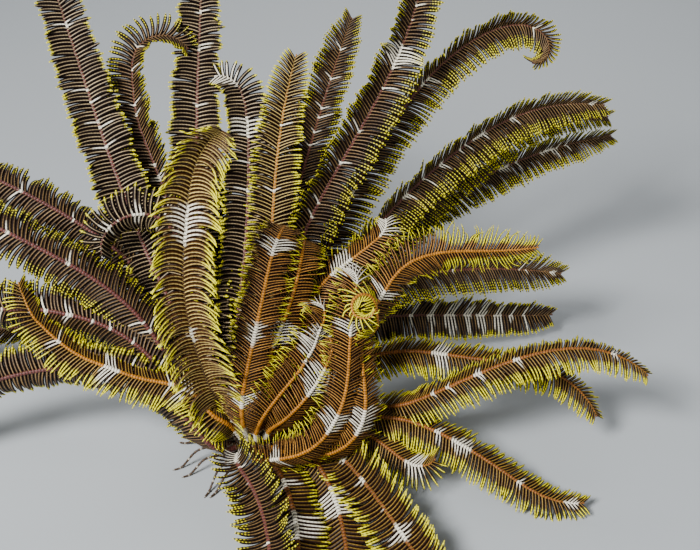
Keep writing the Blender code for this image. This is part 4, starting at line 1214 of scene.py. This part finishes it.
class FEATHERSTAR_OT_cirri(Operator):
    """Makes the jointed cirri with their claws"""

    bl_idname = "featherstar.cirri"
    bl_label = "Cirri"

    def execute(self, context):
        sizes, colours = context.scene.featherstar_sizes, context.scene.featherstar_colours
        count = sizes.cirrus_segments
        at, wide, joint = np.array(CIRRUS_SEGMENT).T
        place = (np.arange(count)[:, None] + at).ravel() / count
        shape = np.tile(wide, count) * (1 - CIRRUS_THINNING * place)
        shape = shape * np.minimum(1, CLAW_END + (1 - place) * CLAW_SLOPE)
        radius = sizes.cirrus_radius * shape
        rings = np.array([tube(ease(path, place), radius, CIRRUS_SIDES) for path in cirri_paths()])
        rings[..., 2] = np.maximum(rings[..., 2], 0.0)
        tubes, along = rings.shape[:2]
        every, paler = CIRRUS_BANDS
        pale = NO_WHITE + CIRRUS_PALER * (np.arange(along) % every < paler)
        marks = (("joint", np.tile(joint, count)), ("tone", CIRRUS_TONE), ("pale", pale))
        values = [(key, np.broadcast_to(value, (tubes, CIRRUS_SIDES, along)).swapaxes(1, 2))
                  for key, value in marks]
        rows = np.arange(tubes) / tubes
        uvs = ring_uvs(*(np.full(tubes, end) for end in CIRRUS_COLUMN),
                       *(rows + end / tubes for end in CIRRUS_USED), along, CIRRUS_SIDES)
        shade = tuple(CIRRUS_SHADE * c for c in colours.cup)
        skin = rachis_material("cirrus_plates", shade, tuple(colours.white))
        piece = mesh_piece("cirri", rings.reshape(-1, 3), ring_faces(tubes, along, CIRRUS_SIDES),
                           [skin], uvs, values=values)
        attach(piece, "root")
        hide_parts(*nodes_of("centrodorsal"))
        return {"FINISHED"}


class FEATHERSTAR_OT_arms(Operator):
    """Makes the forty arms, each a chain of brachials with its two rows of pinnules"""

    bl_idname = "featherstar.arms"
    bl_label = "Arms"

    def execute(self, context):
        sizes, colours = context.scene.featherstar_sizes, context.scene.featherstar_colours
        white, lemon = tuple(colours.white), tuple(colours.lemon)
        skins = {}
        for kind, coat in COATS.items():
            # The flank colour is painted shade between the pinnules, the line colour a painted
            # highlight along their crests in their own paler hue.
            stem, flank, line = (tuple(getattr(colours, key)) for key in coat)
            skins[kind] = (
                rachis_material(kind + "_rachis", stem, white),
                pinnule_material(kind + "_pinnules", KINDS[kind], flank, line, white, lemon))
        for row, (name, line) in enumerate(zip(ARMS, centre_lines())):
            kind = ARM_KIND.get(name, "deep")
            self.arm(name, kind, line, sizes, skins[kind], np.random.default_rng(SEED + row))
        return {"FINISHED"}

    def arm(self, name, kind, line, sizes, skins, generator):
        """One arm as one piece, its rachis in one strip of the bake map and a strip a pinnule."""
        form = KINDS[kind]
        length = float(np.linalg.norm(np.diff(line, axis=0), axis=1).sum())
        frames = arm_frames(line, ARMS[name][-1])
        grid = np.linspace(0, 1, PALE_STEPS)
        table = pale_along(name, kind, grid, generator)

        def pale_at(u):
            return np.interp(u, grid, table)

        stem, stem_marks = rachis_rings(line, frames, form, length, generator, pale_at)
        feather, marks = pinnule_rings(name, line, frames, form, length, sizes, generator, pale_at)
        stem_faces = ring_faces(1, len(stem), RACHIS_SIDES)
        stem_uvs = ring_uvs(*(np.array([end]) for end in (MAP_LEFT, MAP_RIGHT, *RACHIS_STRIP)),
                            len(stem), RACHIS_SIDES)
        count = len(feather)
        strips = (count + 1) // 2
        rings = PINNULE_RINGS + 1
        faces = [part + stem.size // 3 for part in ring_faces(count, rings, PINNULE_SIDES)]
        rows = np.arange(count) // 2 / strips * PINNULE_STRIPS
        tall = PINNULE_STRIPS / strips
        left = np.where(np.arange(count) % 2 == 0, *PINNULE_COLUMNS)
        uvs = ring_uvs(left, left + COLUMN_WIDTH, *(rows + end * tall for end in STRIP_USED),
                       rings, PINNULE_SIDES)
        values = [(key, np.concatenate([stem_marks.get(key, np.zeros(stem.size // 3)),
                                        marks.get(key, np.zeros(feather.size // 3))]))
                  for key in ("pale", "joint", "tone", "out", "crest", "yellow")]
        points = np.concatenate([stem.reshape(-1, 3), feather.reshape(-1, 3)])
        piece = mesh_piece("arm_" + name, points, [*stem_faces, *faces], skins,
                           [*stem_uvs, *uvs], (0, 0, 0, 1, 1, 1), values)
        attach(piece, "root")
        nodes = nodes_of(name)
        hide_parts(*nodes)


class FEATHERSTAR_PT_panel(Panel):
    """Buttons for each group of pieces, and the sizes and colours"""

    bl_label = "Feather Star"
    bl_idname = "FEATHERSTAR_PT_panel"
    bl_space_type = "VIEW_3D"
    bl_region_type = "UI"
    bl_category = "Feather Star"

    def draw(self, context):
        layout = self.layout
        for operator in OPERATORS:
            layout.operator(operator.bl_idname)
        for group in (context.scene.featherstar_sizes, context.scene.featherstar_colours):
            box = layout.box()
            for key in group.__annotations__:
                box.prop(group, key)


OPERATORS = (FEATHERSTAR_OT_stage, FEATHERSTAR_OT_cup, FEATHERSTAR_OT_cirri, FEATHERSTAR_OT_arms)
CLASSES = (FeatherStarSizes, FeatherStarColours, *OPERATORS, FEATHERSTAR_PT_panel)


def register():
    """Registers the classes and gives the scene its sizes and colours."""
    for each in CLASSES:
        bpy.utils.register_class(each)
    bpy.types.Scene.featherstar_sizes = PointerProperty(type=FeatherStarSizes)
    bpy.types.Scene.featherstar_colours = PointerProperty(type=FeatherStarColours)


def unregister():
    """Undoes register."""
    del bpy.types.Scene.featherstar_sizes
    del bpy.types.Scene.featherstar_colours
    for each in reversed(CLASSES):
        bpy.utils.unregister_class(each)


def main():
    """Registers the classes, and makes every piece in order."""
    register()
    bpy.ops.featherstar.stage()
    bpy.ops.featherstar.cup()
    bpy.ops.featherstar.cirri()
    bpy.ops.featherstar.arms()


if __name__ == "__main__":
    main()
